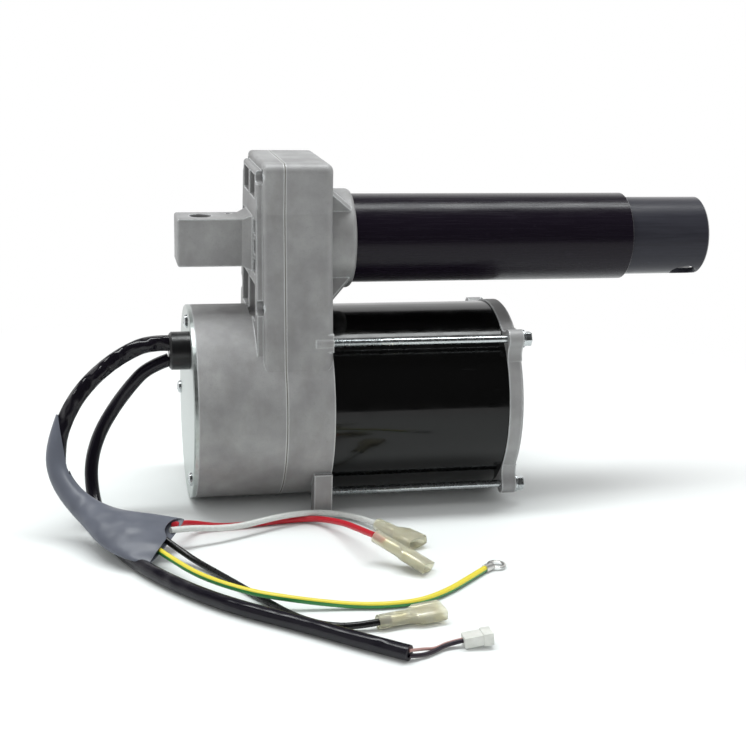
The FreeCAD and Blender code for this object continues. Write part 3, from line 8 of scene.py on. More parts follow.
# %% Load the engineering model
import math

import bpy
from mathutils import Matrix, Vector


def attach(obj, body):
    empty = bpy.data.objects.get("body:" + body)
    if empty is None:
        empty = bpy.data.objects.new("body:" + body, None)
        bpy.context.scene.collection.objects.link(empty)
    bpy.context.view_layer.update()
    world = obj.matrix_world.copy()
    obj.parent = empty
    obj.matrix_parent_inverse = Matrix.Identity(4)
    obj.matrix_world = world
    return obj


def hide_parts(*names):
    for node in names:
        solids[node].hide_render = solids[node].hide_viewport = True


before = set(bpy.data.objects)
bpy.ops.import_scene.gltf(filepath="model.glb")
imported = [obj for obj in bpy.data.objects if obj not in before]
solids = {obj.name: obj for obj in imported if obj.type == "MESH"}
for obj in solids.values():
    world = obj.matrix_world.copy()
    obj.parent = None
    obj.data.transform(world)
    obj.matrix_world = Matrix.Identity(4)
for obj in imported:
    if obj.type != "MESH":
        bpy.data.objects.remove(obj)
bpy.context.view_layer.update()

MM = 0.001

# %% [markdown]
# ## The camera
# The lens looks slightly down and a little from the left, as somebody does who stands at a bench.
# A long focal length keeps the ram and the motor parallel. The camera is set from three turns, so
# that each can be changed without spoiling the others.

# %% Camera
CAMERA_PLACE = Vector((-53.4, -649.3, 113.6)) * MM
YAW, PITCH, ROLL = (math.radians(a) for a in (11.95, 15.24, 1.55))
LENS, SENSOR = 67.56, 36.0


def make_camera():
    ahead = Vector((math.sin(YAW) * math.cos(PITCH), math.cos(YAW) * math.cos(PITCH),
                    -math.sin(PITCH)))
    level = Vector((math.cos(YAW), -math.sin(YAW), 0))
    upright = level.cross(ahead)
    right = level * math.cos(ROLL) + upright * math.sin(ROLL)
    up = upright * math.cos(ROLL) - level * math.sin(ROLL)
    data = bpy.data.cameras.new("bench_camera")
    data.lens = LENS
    data.sensor_width = SENSOR
    camera = bpy.data.objects.new("bench_camera", data)
    bpy.context.scene.collection.objects.link(camera)
    turn = Matrix((right, up, -ahead)).transposed()
    camera.matrix_world = Matrix.Translation(CAMERA_PLACE) @ turn.to_4x4()
    bpy.context.scene.camera = camera
    return camera


camera = make_camera()
print("camera at", [round(v, 3) for v in camera.location])

# %% [markdown]
# ## Helpers for finishes
# A finish is a small graph of nodes. Noise in Object coordinates gives colour that varies, and a
# Bump node turns the same noise into relief. These helpers keep each finish to a few lines.

# %% Finish helpers


def new_finish(name, colour, roughness, metallic=0.0, **sockets):
    finish = bpy.data.materials.new(name)
    finish.use_nodes = True
    shader = finish.node_tree.nodes["Principled BSDF"]
    shader.inputs["Base Color"].default_value = (*colour, 1)
    shader.inputs["Roughness"].default_value = roughness
    shader.inputs["Metallic"].default_value = metallic
    for socket, value in sockets.items():
        shader.inputs[socket.replace("_", " ")].default_value = value
    return finish


def add(finish, kind, **values):
    node = finish.node_tree.nodes.new("ShaderNode" + kind)
    for name, value in values.items():
        if hasattr(node, name):
            setattr(node, name, value)
        else:
            node.inputs[name.replace("_", " ")].default_value = value
    return node


def wire_up(finish, out, into):
    finish.node_tree.links.new(out, into)


def shader_of(finish):
    return finish.node_tree.nodes["Principled BSDF"]


def object_place(finish, stretch=(1, 1, 1)):
    """Object coordinates, stretched so that a pattern can run one way."""
    place = add(finish, "TexCoord")
    mapping = add(finish, "Mapping")
    mapping.inputs["Scale"].default_value = stretch
    wire_up(finish, place.outputs["Object"], mapping.inputs["Vector"])
    return mapping.outputs["Vector"]


def noise(finish, size, detail=4, stretch=(1, 1, 1), rough=0.55):
    """Soft noise whose patches are about size across."""
    node = add(finish, "TexNoise", Scale=1 / size, Detail=detail, Roughness=rough)
    wire_up(finish, object_place(finish, stretch), node.inputs["Vector"])
    return node.outputs["Fac"]


def shades(finish, value, dark, light, low=0.3, high=0.7):
    """A colour that runs from dark to light as a value goes from low to high."""
    ramp = add(finish, "ValToRGB")
    ramp.color_ramp.elements[0].position = low
    ramp.color_ramp.elements[1].position = high
    ramp.color_ramp.elements[0].color = (*dark, 1)
    ramp.color_ramp.elements[1].color = (*light, 1)
    wire_up(finish, value, ramp.inputs["Fac"])
    return ramp.outputs["Color"]


def between(finish, value, low, high, start=0.0, end=1.0):
    """A number that runs from low to high as a value goes from start to end."""
    node = add(finish, "MapRange")
    for name, number in (("From Min", start), ("From Max", end), ("To Min", low),
                         ("To Max", high)):
        node.inputs[name].default_value = number
    wire_up(finish, value, node.inputs["Value"])
    return node.outputs["Result"]


def mixed(finish, share, first, second):
    """Blend two colours by a share."""
    node = add(finish, "Mix", data_type="RGBA")
    wire_up(finish, share, node.inputs[0])
    for colour, socket in ((first, node.inputs[6]), (second, node.inputs[7])):
        if isinstance(colour, tuple):
            socket.default_value = (*colour, 1)
        else:
            wire_up(finish, colour, socket)
    return node.outputs[2]


def relief(finish, value, depth, under=None):
    """Turn a value into height; under chains a coarser relief beneath it."""
    bump = add(finish, "Bump", Strength=1.0, Distance=depth)
    wire_up(finish, value, bump.inputs["Height"])
    if under is not None:
        wire_up(finish, under, bump.inputs["Normal"])
    return bump.outputs["Normal"]


def reckon(finish, kind, first, second):
    """A Math node of two values, each a socket or a plain number."""
    node = add(finish, "Math", operation=kind)
    for value, socket in zip((first, second), node.inputs):
        if isinstance(value, float):
            socket.default_value = value
        else:
            wire_up(finish, value, socket)
    return node.outputs["Value"]


def seen_by(finish, *kinds):
    """One for rays of any of these kinds, nought for all others."""
    path = add(finish, "LightPath")
    first, *rest = (path.outputs[f"Is {kind} Ray"] for kind in kinds)
    for ray in rest:
        first = reckon(finish, "MAXIMUM", first, ray)
    return first


def colour_by(finish, socket):
    wire_up(finish, socket, shader_of(finish).inputs["Base Color"])


def rough_by(finish, socket):
    wire_up(finish, socket, shader_of(finish).inputs["Roughness"])


def normal_by(finish, socket):
    wire_up(finish, socket, shader_of(finish).inputs["Normal"])


def edge_share(finish, reach, low=0.02, high=0.25):
    """How near a sharp edge is: the rounded normal leaves the true one there."""
    soft = add(finish, "Bevel", samples=4, Radius=reach)
    true = add(finish, "NewGeometry")
    dot = add(finish, "VectorMath", operation="DOT_PRODUCT")
    wire_up(finish, soft.outputs["Normal"], dot.inputs[0])
    wire_up(finish, true.outputs["Normal"], dot.inputs[1])
    return between(finish, dot.outputs["Value"], 1.0, 0.0, 1 - high, 1 - low)


print("finish helpers are ready")

# %% [markdown]
# ## Helpers for pieces
# A new piece starts as a primitive and is shaped in edit mode, as by hand. A turned piece is a
# ring that is extruded along the shaft and scaled at each step of its profile. A threaded rod is
# one tooth of thread, extruded point by point and then repeated by the Screw modifier.

# %% Piece helpers
ALONG_X = (0, math.pi / 2, 0)
POINT = 0.001


def let_go():
    if bpy.context.object and bpy.context.object.mode != "OBJECT":
        bpy.ops.object.mode_set(mode="OBJECT")
    bpy.ops.object.select_all(action="DESELECT")


def take(piece):
    """Make this piece the active one, and the only one selected."""
    let_go()
    bpy.context.view_layer.objects.active = piece
    piece.select_set(True)


def settle(piece, name):
    """Give a piece its name and put its place and turn into its mesh."""
    take(piece)
    piece.name = piece.data.name = name
    bpy.ops.object.transform_apply(location=True, rotation=True, scale=True)
    piece.select_set(False)
    return piece


def apply_all(piece):
    take(piece)
    for modifier in list(piece.modifiers):
        bpy.ops.object.modifier_apply(modifier=modifier.name)
    piece.select_set(False)


def smooth(piece, degrees=40):
    take(piece)
    bpy.ops.object.shade_smooth_by_angle(angle=math.radians(degrees))
    piece.select_set(False)


def pick(piece, kind, wanted):
    """Open a piece for editing with only the faces or vertices selected that pass a test."""
    take(piece)
    bpy.ops.object.mode_set(mode="EDIT")
    bpy.ops.mesh.select_all(action="DESELECT")
    bpy.ops.object.mode_set(mode="OBJECT")
    for part in getattr(piece.data, kind):
        part.select = wanted(part)
    bpy.ops.object.mode_set(mode="EDIT")


def pull(along):
    """Extrude what is selected along X, by millimetres."""
    bpy.ops.mesh.extrude_region_move(TRANSFORM_OT_translate={"value": (along * MM, 0, 0)})


def face_out(piece):
    take(piece)
    bpy.ops.object.mode_set(mode="EDIT")
    bpy.ops.mesh.select_all(action="SELECT")
    bpy.ops.mesh.remove_doubles(threshold=1e-6)
    bpy.ops.mesh.normals_make_consistent(inside=False)
    bpy.ops.object.mode_set(mode="OBJECT")


def bevelled(piece, width, segments=2, degrees=35):
    bevel = piece.modifiers.new("soft_edges", "BEVEL")
    bevel.width = width
    bevel.segments = segments
    bevel.limit_method = "ANGLE"
    bevel.angle_limit = math.radians(degrees)
    apply_all(piece)
    smooth(piece)


def walled(piece, thickness):
    """Give an open skin a wall on its inner side."""
    wall = piece.modifiers.new("wall", "SOLIDIFY")
    wall.thickness = thickness
    wall.offset = -1
    apply_all(piece)


def cylinder(name, sides, radius, length, middle, y=0, z=0, ends="NGON"):
    """A cylinder along X, in millimetres, with its centre at (middle, y, z)."""
    let_go()
    bpy.ops.mesh.primitive_cylinder_add(vertices=sides, radius=radius * MM, depth=length * MM,
                                        end_fill_type=ends, rotation=ALONG_X,
                                        location=(middle * MM, y * MM, z * MM))
    return settle(bpy.context.object, name)


def block(name, middle, size, turn=0.0):
    """A box, in millimetres, turned about X."""
    let_go()
    bpy.ops.mesh.primitive_cube_add(size=1, location=tuple(v * MM for v in middle),
                                    rotation=(turn, 0, 0), scale=tuple(v * MM for v in size))
    return settle(bpy.context.object, name)


def turned(name, profile, y, z, sides=64):
    """Turn a profile of (along, radius) in millimetres about a line along X."""
    let_go()
    along, radius = profile[0]
    bpy.ops.mesh.primitive_circle_add(vertices=sides, radius=max(radius, POINT) * MM,
                                      fill_type="NOTHING", rotation=ALONG_X,
                                      location=(along * MM, y * MM, z * MM))
    piece = bpy.context.object
    bpy.ops.object.transform_apply(location=True, rotation=True, scale=True)
    bpy.ops.object.mode_set(mode="EDIT")
    bpy.ops.mesh.select_all(action="SELECT")
    for (x0, r0), (x1, r1) in zip(profile, profile[1:]):
        pull(x1 - x0)
        grow = max(r1, POINT) / max(r0, POINT)
        bpy.ops.transform.resize(value=(1, grow, grow),
                                 center_override=(x1 * MM, y * MM, z * MM))
    bpy.ops.object.mode_set(mode="OBJECT")
    face_out(piece)
    return settle(piece, name)


def hex_head(name, across, start, end, y, z):
    """A six-sided head along X with rounded edges."""
    piece = cylinder(name, 6, across / math.sqrt(3), end - start, (start + end) / 2, y, z)
    bevelled(piece, 0.35 * MM, 3, 30)
    return piece


def threaded(name, radius, depth, pitch, start, end, y, z, steps=20, flat=0.25):
    """One tooth of thread, carried round and along by the Screw modifier."""
    let_go()
    low = radius - depth
    tooth = [(0.0, low), (flat * 0.5, low), (0.5 - flat * 0.25, radius),
             (0.5 + flat * 0.25, radius), (1.0 - flat * 0.5, low), (1.0, low)]
    bpy.ops.mesh.primitive_circle_add(vertices=3, radius=0.1 * MM, location=(0, 0, 0))
    piece = bpy.context.object
    bpy.ops.object.mode_set(mode="EDIT")
    bpy.ops.mesh.select_all(action="SELECT")
    bpy.ops.mesh.merge(type="CENTER")
    bpy.ops.transform.translate(value=(start * MM, 0, low * MM))
    for (x0, r0), (x1, r1) in zip(tooth, tooth[1:]):
        bpy.ops.mesh.extrude_region_move(
            TRANSFORM_OT_translate={"value": ((x1 - x0) * pitch * MM, 0, (r1 - r0) * MM)})
    bpy.ops.object.mode_set(mode="OBJECT")
    screw = piece.modifiers.new("thread", "SCREW")
    screw.axis = "X"
    screw.angle = 2 * math.pi
    screw.screw_offset = pitch * MM
    screw.iterations = max(1, int((end - start) / pitch) - 1)
    screw.steps = screw.render_steps = steps
    screw.use_merge_vertices = True
    apply_all(piece)
    piece.location = (0, y * MM, z * MM)
    face_out(piece)
    smooth(piece, 25)
    return settle(piece, name)


def joined(name, parts):
    let_go()
    for part in parts:
        part.select_set(True)
    bpy.context.view_layer.objects.active = parts[0]
    bpy.ops.object.join()
    piece = bpy.context.object
    piece.name = piece.data.name = name
    piece.select_set(False)
    return piece


def finish_piece(piece, finish, body, stands_for=()):
    """Give a piece its finish and let it ride on its body."""
    piece.data.materials.clear()
    piece.data.materials.append(finish)
    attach(piece, body)
    if stands_for:
        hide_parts(*stands_for)
    return piece


def dress(finish, *names):
    """Give engineering solids a finish in place of their plain one."""
    for name in names:
        solid = solids[name]
        for place in solid.material_slots:
            place.material = finish


print("piece helpers are ready")

# %% [markdown]
# ## Wires and sleeves
# Each lead is a NURBS curve that runs through the air and along the bench. Its points began as
# the ones that route the tube in the engineering model, and were then moved, by up to seven
# millimetres, until each wire lay as a soft wire does. Its order of three gives smooth,
# natural bends. The motor's lead runs on a little way inside the grey sleeve.

# %% Routes of the leads
LEAD_SLEEVE_ROUTE = [
    (-16.4, -20.0, -44.6), (-25.6, -20.8, -44.0), (-36.6, -23.0, -48.2), (-47.4, -26.2, -55.0),
    (-57.0, -30.0, -64.0), (-63.6, -33.6, -74.4), (-67.6, -37.6, -85.2), (-67.6, -44.3, -97.0)]
SENSOR_SLEEVE_ROUTE = [
    (-16.4, -20.0, -52.4), (-26.0, -19.6, -55.8), (-34.0, -18.6, -64.6), (-42.4, -18.2, -76.0),
    (-49.5, -20.5, -88.0), (-53.2, -26.5, -100.0), (-52.6, -34.5, -111.4), (-49.8, -46.0, -119.4),
    (-46.0, -60.0, -121.7), (-42.4, -76.0, -121.7), (-36.6, -90.0, -121.7),
    (-28.6, -104.6, -121.7), (-18.4, -119.4, -121.7), (-6.4, -134.0, -121.7),
    (6.4, -146.2, -121.7), (20.4, -157.4, -121.7), (34.2, -169.0, -121.7),
    (46.0, -179.6, -121.7), (60.2, -191.2, -121.7)]
WHITE_ROUTE = [
    (-19.9, -74.8, -114.8), (-11.1, -69.6, -116.2), (1.0, -66.8, -118.2), (12.7, -61.8, -119.6),
    (24.8, -55.3, -119.6), (36.6, -50.0, -119.8), (47.4, -46.8, -120.6), (58.4, -43.7, -122.6),
    (66.5, -48.5, -122.9), (71.6, -56.2, -122.2), (75.0, -62.5, -121.9)]
RED_ROUTE = [
    (-18.1, -71.5, -113.7), (-13.1, -60.0, -117.4), (-6.3, -53.1, -121.0), (3.3, -51.9, -123.2),
    (14.8, -51.1, -123.4), (27.0, -49.0, -123.4), (39.4, -47.4, -123.4), (49.5, -50.0, -122.4),
    (58.2, -65.2, -119.0), (62.4, -81.4, -116.0), (66.5, -96.1, -113.5)]
BLACK_ROUTE = [
    (-22.8, -80.3, -116.5), (-16.0, -85.6, -120.4), (-8.8, -94.2, -122.8), (-1.4, -105.6, -123.4),
    (8.9, -124.5, -123.4), (15.9, -137.2, -123.4), (21.4, -147.0, -123.4), (27.6, -154.8, -123.4),
    (35.4, -160.8, -123.4), (44.8, -163.6, -122.9), (54.0, -163.4, -121.9)]
EARTH_ROUTE = [
    (-26.3, -86.6, -118.5), (-20.6, -97.8, -118.8), (-12.6, -112.6, -119.0),
    (-3.1, -123.6, -119.4), (9.2, -133.8, -119.8), (20.4, -140.2, -119.8),
    (34.0, -142.0, -121.8), (48.2, -143.6, -123.4), (61.4, -145.5, -123.4),
    (76.0, -143.8, -123.4), (89.0, -135.8, -123.4), (100.6, -125.2, -123.4),
    (110.6, -115.6, -123.4)]
FINE_WIRE_ROUTE = [
    (60.0, -191.4, -122.6), (64.4, -190.4, -123.6), (70.4, -187.4, -123.8), (76.4, -183.0, -123.4),
    (83.0, -182.8, -122.4)]
SECOND_FINE_ROUTE = [
    (60.0, -191.4, -120.6), (66.0, -187.2, -122.4), (71.6, -185.4, -123.6), (77.0, -181.0, -123.6),
    (83.0, -182.2, -122.0)]
WIRE_RADIUS = 1.4


def lay_cord(name, route, radius, sides=6):
    """A NURBS cord through the route's points, which carry its radius."""
    curve = bpy.data.curves.new(name, "CURVE")
    curve.dimensions = "3D"
    spline = curve.splines.new("NURBS")
    spline.points.add(len(route) - 1)
    for point, place in zip(spline.points, route):
        point.co = (*(value * MM for value in place), 1)
        point.radius = radius * MM
    spline.order_u = 3
    spline.use_endpoint_u = True
    curve.resolution_u = curve.render_resolution_u = 16
    curve.bevel_depth = 1.0
    curve.bevel_resolution = sides
    curve.use_fill_caps = True
    cord = bpy.data.objects.new(name, curve)
    bpy.context.scene.collection.objects.link(cord)
    return cord


def length_of(cord):
    """The length of a cord's own smooth line."""
    depth = cord.data.bevel_depth
    cord.data.bevel_depth = 0
    line = bpy.data.meshes.new_from_object(cord)
    cord.data.bevel_depth = depth
    places = [v.co for v in line.vertices]
    total = sum((b - a).length for a, b in zip(places, places[1:]))
    bpy.data.meshes.remove(line)
    return total


print("routes are ready")

# %% [markdown]
# ## Finishes of the leads
# PVC wire is smooth with a soft sheen. The black sleeves are thin tube drawn over the wires, so
# they wrinkle: a stretched noise gives the creases. The earth wire is green with a broad yellow
# stripe that lies uppermost.

# %% Lead finishes


def wire_finish(name, colour, rough=0.38):
    finish = new_finish(name, colour, rough, Specular_IOR_Level=0.5)
    grain = noise(finish, 1.2 * MM, 3)
    dark = tuple(c * 0.88 for c in colour)
    colour_by(finish, shades(finish, grain, dark, colour))
    rough_by(finish, between(finish, grain, rough - 0.05, rough + 0.10))
    normal_by(finish, relief(finish, noise(finish, 2.5 * MM, 3), 0.03 * MM))
    return finish


def sleeve_finish(name, colour, rough, crease, depth):
    finish = new_finish(name, colour, rough, Specular_IOR_Level=0.4)
    folds = noise(finish, crease, 1, (1.0, 1.0, 0.5), 0.4)
    wear = noise(finish, crease * 1.6, 3)
    colour_by(finish, shades(finish, wear, colour, tuple(c * 1.25 for c in colour)))
    rough_by(finish, between(finish, wear, rough - 0.05, rough + 0.08, 0.3, 0.7))
    normal_by(finish, relief(finish, folds, depth))
    return finish


def earth_finish():
    """Green below, yellow on top: how far the surface faces up decides, and the wire twists."""
    finish = new_finish("earth_pvc", (0.03, 0.30, 0.06), 0.35)
    place = add(finish, "TexCoord")
    split = add(finish, "SeparateXYZ")
    wire_up(finish, place.outputs["Normal"], split.inputs["Vector"])
    where = add(finish, "SeparateXYZ")
    wire_up(finish, place.outputs["Object"], where.inputs["Vector"])
    edge = between(finish, where.outputs["X"], 0.48, 0.16, 0.03, 0.09)
    above = reckon(finish, "SUBTRACT", split.outputs["Z"], edge)
    share = between(finish, above, 0.0, 1.0, -0.03, 0.04)
    colour_by(finish, mixed(finish, share, (0.035, 0.24, 0.06), (0.70, 0.60, 0.05)))
    normal_by(finish, relief(finish, noise(finish, 2.5 * MM, 3), 0.03 * MM))
    return finish


white_pvc = wire_finish("white_pvc", (0.60, 0.62, 0.60))
red_pvc = wire_finish("red_pvc", (0.50, 0.010, 0.022))
black_pvc = wire_finish("black_pvc", (0.004, 0.004, 0.005), 0.26)
plum_pvc = wire_finish("plum_pvc", (0.020, 0.012, 0.022), 0.35)
pink_pvc = wire_finish("pink_pvc", (0.42, 0.24, 0.22), 0.4)
earth_pvc = earth_finish()
wrinkled_sleeve = sleeve_finish("wrinkled_sleeve", (0.004, 0.003, 0.006), 0.20, 7 * MM, 4.5 * MM)
plain_sleeve = sleeve_finish("plain_sleeve", (0.004, 0.003, 0.007), 0.22, 14 * MM, 2 * MM)
shrink_sleeve = sleeve_finish("shrink_sleeve", (0.090, 0.098, 0.122), 0.38, 12 * MM, 2.5 * MM)
print("lead finishes are ready")

# %% [markdown]
# ## The shrink sleeve
# On the real lead a wide grey sleeve has been shrunk over the black one. It grips at the narrow
# end, where it is cut off at a slant, and stays open and flat where the wires fan out. It is
# lofted from ovals, cut by a slanted plane, given a wall by Solidify, and left open, so that the
# wires are seen going in. The upper lip of its mouth stands back from the lower one.

# %% Shrink sleeve
SLEEVE_SECTIONS = [
    ((-63.6, -33.6, -74.4), (0.84, 0.16, -0.52), 4.4, 4.4),
    ((-67.6, -37.6, -85.2), (0.92, 0.10, -0.37), 4.7, 4.6),
    ((-68.6, -42.0, -93.6), (0.96, 0.16, -0.24), 4.8, 4.7),
    ((-65.4, -47.6, -101.6), (0.88, 0.44, 0.16), 5.0, 4.8),
    ((-58.8, -54.4, -108.2), (0.76, 0.58, 0.28), 5.6, 5.0),
    ((-50.8, -63.8, -111.6), (0.68, 0.64, 0.36), 7.4, 4.8),
    ((-44.6, -71.6, -113.0), (0.56, 0.76, 0.33), 11.0, 4.4),
    ((-38.2, -76.2, -114.2), (0.42, 0.86, 0.28), 14.6, 4.0),
    ((-31.4, -80.4, -115.2), (0.40, 0.88, 0.25), 17.0, 3.0),
    ((-21.8, -82.8, -116.4), (0.46, 0.85, 0.19), 18.2, 2.2)]
SLEEVE_SIDES = 32
TOP_EDGE_BACK = 7.0
SLANT_ABOVE, SLANT_PLACE, SLANT_FACING = -95, (-67.3, -34.3, -72.1), (0.988, 0.063, 0.137)


def loft_sleeve():
    """Rings of points through the ovals, joined by faces, trimmed at both ends and smoothed."""
    sides = SLEEVE_SIDES
    turns = [2 * math.pi * step / sides for step in range(sides)]
    places = [Vector(section[0]) for section in SLEEVE_SECTIONS]
    rings = []
    for i, (_, lie, wide, thick) in enumerate(SLEEVE_SECTIONS):
        heading = (places[min(i + 1, len(places) - 1)] - places[max(i - 1, 0)]).normalized()
        across = Vector(lie).normalized()
        up = heading.cross(across).normalized()
        if i < len(SLEEVE_SECTIONS) - 1:
            across = up.cross(heading).normalized()
        rings.append([places[i] + across * wide * math.cos(turn) + up * thick * math.sin(turn)
                      for turn in turns])
    for point, turn in zip(rings[-1], turns):
        share = max(0.0, math.sin(turn)) * max(0.0, math.cos(turn)) ** 0.5
        point -= heading * TOP_EDGE_BACK * share
    points = [tuple(p * MM) for ring in rings for p in ring]
    faces = [(i * sides + k, i * sides + (k + 1) % sides, (i + 1) * sides + (k + 1) % sides,
              (i + 1) * sides + k) for i in range(len(rings) - 1) for k in range(sides)]
    mesh = bpy.data.meshes.new("shrink_sleeve")
    mesh.from_pydata(points, [], faces)
    piece = bpy.data.objects.new("shrink_sleeve", mesh)
    bpy.context.scene.collection.objects.link(piece)
    soft = piece.modifiers.new("soft", "SUBSURF")
    soft.levels = soft.render_levels = 2
    apply_all(piece)
    pick(piece, "polygons", lambda face: face.center.z > SLANT_ABOVE * MM)
    bpy.ops.mesh.bisect(plane_co=tuple(v * MM for v in SLANT_PLACE), plane_no=SLANT_FACING,
                        clear_outer=True)
    bpy.ops.object.mode_set(mode="OBJECT")
    face_out(piece)
    walled(piece, 0.5 * MM)
    smooth(piece, 60)
    return piece


sleeve = loft_sleeve()
finish_piece(sleeve, shrink_sleeve, "case", ["junction_sleeve"])
print("shrink sleeve has", len(sleeve.data.polygons), "faces")

# %% [markdown]
# ## Connector covers
# Each wire ends in a push-on connector inside a soft, clear cover: a round barrel over the crimp
# and a flat hood over the contact. The cover is a cylinder whose far half is extruded, widened
# and flattened. The metal inside is modelled too, because it shows through.

# %% Connector covers


def clear_finish():
    finish = new_finish("clear_cover", (0.84, 0.82, 0.68), 0.30, Transmission_Weight=0.80,
                        IOR=1.22, Specular_IOR_Level=0.5)
    cloud = noise(finish, 5 * MM, 2)
    colour_by(finish, shades(finish, cloud, (0.80, 0.77, 0.60), (0.88, 0.87, 0.76)))
    rough_by(finish, between(finish, cloud, 0.24, 0.38))
    return finish


def tin_finish():
    finish = new_finish("tinned_metal", (0.78, 0.77, 0.74), 0.30, 0.9)
    normal_by(finish, relief(finish, noise(finish, 0.6 * MM, 4), 0.02 * MM))
    rough_by(finish, between(finish, noise(finish, 1.5 * MM, 3), 0.22, 0.45))
    return finish


clear_cover = clear_finish()
tinned_metal = tin_finish()
BARREL, NECK, HOOD = 13.0, 3.75, 11.25
BARREL_RADIUS, HOOD_HALF_WIDE, HOOD_HALF_HIGH = 2.9, 5.2, 2.45
FIRST_STEP, NEAR = 1.5, 0.1


def aim(start, toward, roll):
    """A placement whose own X runs from one point towards another."""
    heading = (Vector(toward) - Vector(start)).normalized()
    turn = Vector((1, 0, 0)).rotation_difference(heading).to_matrix().to_4x4()
    return Matrix.Translation(Vector(start) * MM) @ turn @ Matrix.Rotation(
        math.radians(roll), 4, "X")


def place_piece(piece, where):
    piece.matrix_world = where
    return settle(piece, piece.name)


def cover_shell(name, where):
    piece = cylinder(name, 24, BARREL_RADIUS, BARREL, BARREL / 2, ends="NOTHING")
    pick(piece, "vertices", lambda vertex: vertex.co.x > (BARREL - NEAR) * MM)
    pull(NECK)
    bpy.ops.transform.resize(value=(1, 1.70, 0.80),
                             center_override=((BARREL + NECK) * MM, 0, 0))
    pull(FIRST_STEP)
    pull(HOOD - FIRST_STEP)
    bpy.ops.object.mode_set(mode="OBJECT")
    for vertex in piece.data.vertices:
        if vertex.co.x > (BARREL + NECK - NEAR) * MM:
            turn = math.atan2(vertex.co.z, vertex.co.y)
            square = 1 / (abs(math.cos(turn)) ** 6 + abs(math.sin(turn)) ** 6) ** (1 / 6)
            vertex.co.y = HOOD_HALF_WIDE * MM * math.cos(turn) * square
            vertex.co.z = HOOD_HALF_HIGH * MM * math.sin(turn) * square
    face_out(piece)
    walled(piece, 0.7 * MM)
    bevelled(piece, 0.2 * MM)
    return place_piece(piece, where)


def crimp_metal(name, where):
    """The rolled barrel and flat receptacle of the contact inside a cover."""
    barrel = cylinder(name + "_barrel", 20, 1.75, 7, 9.0)
    blade = block(name + "_blade", (20.2, 0, 0), (10, 7.4, 0.5))
    rolls = [cylinder(name + "_roll", 16, 1.05, 10, 20.2, side * 3.0, 0.75) for side in (-1, 1)]
    neck = block(name + "_neck", (14, 0, 0), (4, 3.2, 0.8))
    piece = joined(name, [barrel, blade, neck] + rolls)
    bevelled(piece, 0.12 * MM)
    return place_piece(piece, where)


def cover_and_crimp(colour, start, toward, roll, node, wire):
    where = aim(start, toward, roll)
    shell = cover_shell(colour + "_cover", where)
    crimp = crimp_metal(colour + "_crimp", where)
    stub = cylinder(colour + "_wire_end", 16, WIRE_RADIUS, 6.2, 2.9)
    bevelled(stub, 0.2 * MM)
    place_piece(stub, where)
    finish_piece(shell, clear_cover, "case", [node])
    finish_piece(crimp, tinned_metal, "case")
    finish_piece(stub, wire, "case")
    return [shell, crimp, stub]


white_end = cover_and_crimp("white", WHITE_ROUTE[-1], (89.4, -90.0, -121.5), 6, "white_boot",
                            white_pvc)
red_end = cover_and_crimp("red", RED_ROUTE[-1], (86.3, -113.9, -122.2), -6, "red_boot", red_pvc)
black_end = cover_and_crimp("black", BLACK_ROUTE[-1], (82.1, -156.7, -121.3), 5, "black_boot",
                            black_pvc)
print("three covers with their contacts")

# %% [markdown]
# ## Ring terminal and sensor connector
# The earth wire ends in a tinned ring for a screw: a flat eye with a rolled barrel. The thin
# sensor wire ends in a small white housing with a raised rim.

# %% Ring terminal and sensor connector


def ring_end():
    middle = 8.4 * MM
    barrel = cylinder("ring_barrel", 20, 1.8, 5.0, 2.5)
    bpy.ops.mesh.primitive_torus_add(major_segments=40, minor_segments=8,
                                     major_radius=3.3 * MM, minor_radius=0.9 * MM,
                                     location=(middle, 0, 0))
    eye = bpy.context.object
    bpy.ops.object.mode_set(mode="EDIT")
    bpy.ops.mesh.select_all(action="SELECT")
    bpy.ops.transform.resize(value=(1, 1, 0.42), center_override=(middle, 0, 0))
    bpy.ops.object.mode_set(mode="OBJECT")
    settle(eye, "ring_eye")
    piece = joined("earth_ring", [barrel, eye])
    smooth(piece)
    return place_piece(piece, aim(EARTH_ROUTE[-1], (117.6, -110.6, -123.6), 0))


def sensor_plug():
    """A box cut across, with its front part swollen into a rim and its front face sunk."""
    length, rim_from = 11, 7.4
    piece = block("sensor_plug", (length / 2, 0, 0), (length, 5.8, 4.2))
    pick(piece, "polygons", lambda face: True)
    bpy.ops.mesh.bisect(plane_co=(rim_from * MM, 0, 0), plane_no=(1, 0, 0))
    pick(piece, "polygons", lambda face: (face.center.x > (rim_from + NEAR) * MM
                                          and abs(face.normal.x) < 0.1))
    bpy.ops.mesh.extrude_region_shrink_fatten(TRANSFORM_OT_shrink_fatten={"value": 0.55 * MM})
    pick(piece, "polygons", lambda face: (face.center.x > (length - NEAR) * MM
                                          and face.area > 12 * MM * MM))
    bpy.ops.mesh.inset(thickness=0.8 * MM)
    pull(-3)
    bpy.ops.object.mode_set(mode="OBJECT")
    bevelled(piece, 0.22 * MM)
    return place_piece(piece, aim(FINE_WIRE_ROUTE[-1], (90.0, -182.6, -121.6), 0))


def milky_finish():
    finish = new_finish("milky_nylon", (0.82, 0.83, 0.78), 0.36, Transmission_Weight=0.25,
                        IOR=1.5)
    colour_by(finish, shades(finish, noise(finish, 3 * MM, 3), (0.74, 0.75, 0.70),
                             (0.86, 0.87, 0.83)))
    normal_by(finish, relief(finish, noise(finish, 1.5 * MM, 3), 0.02 * MM))
    return finish


milky_nylon = milky_finish()
earth_ring = finish_piece(ring_end(), tinned_metal, "case", ["ring_terminal"])
sensor_end = finish_piece(sensor_plug(), milky_nylon, "case",
                          ["small_connector"])
print("ring terminal and sensor connector")
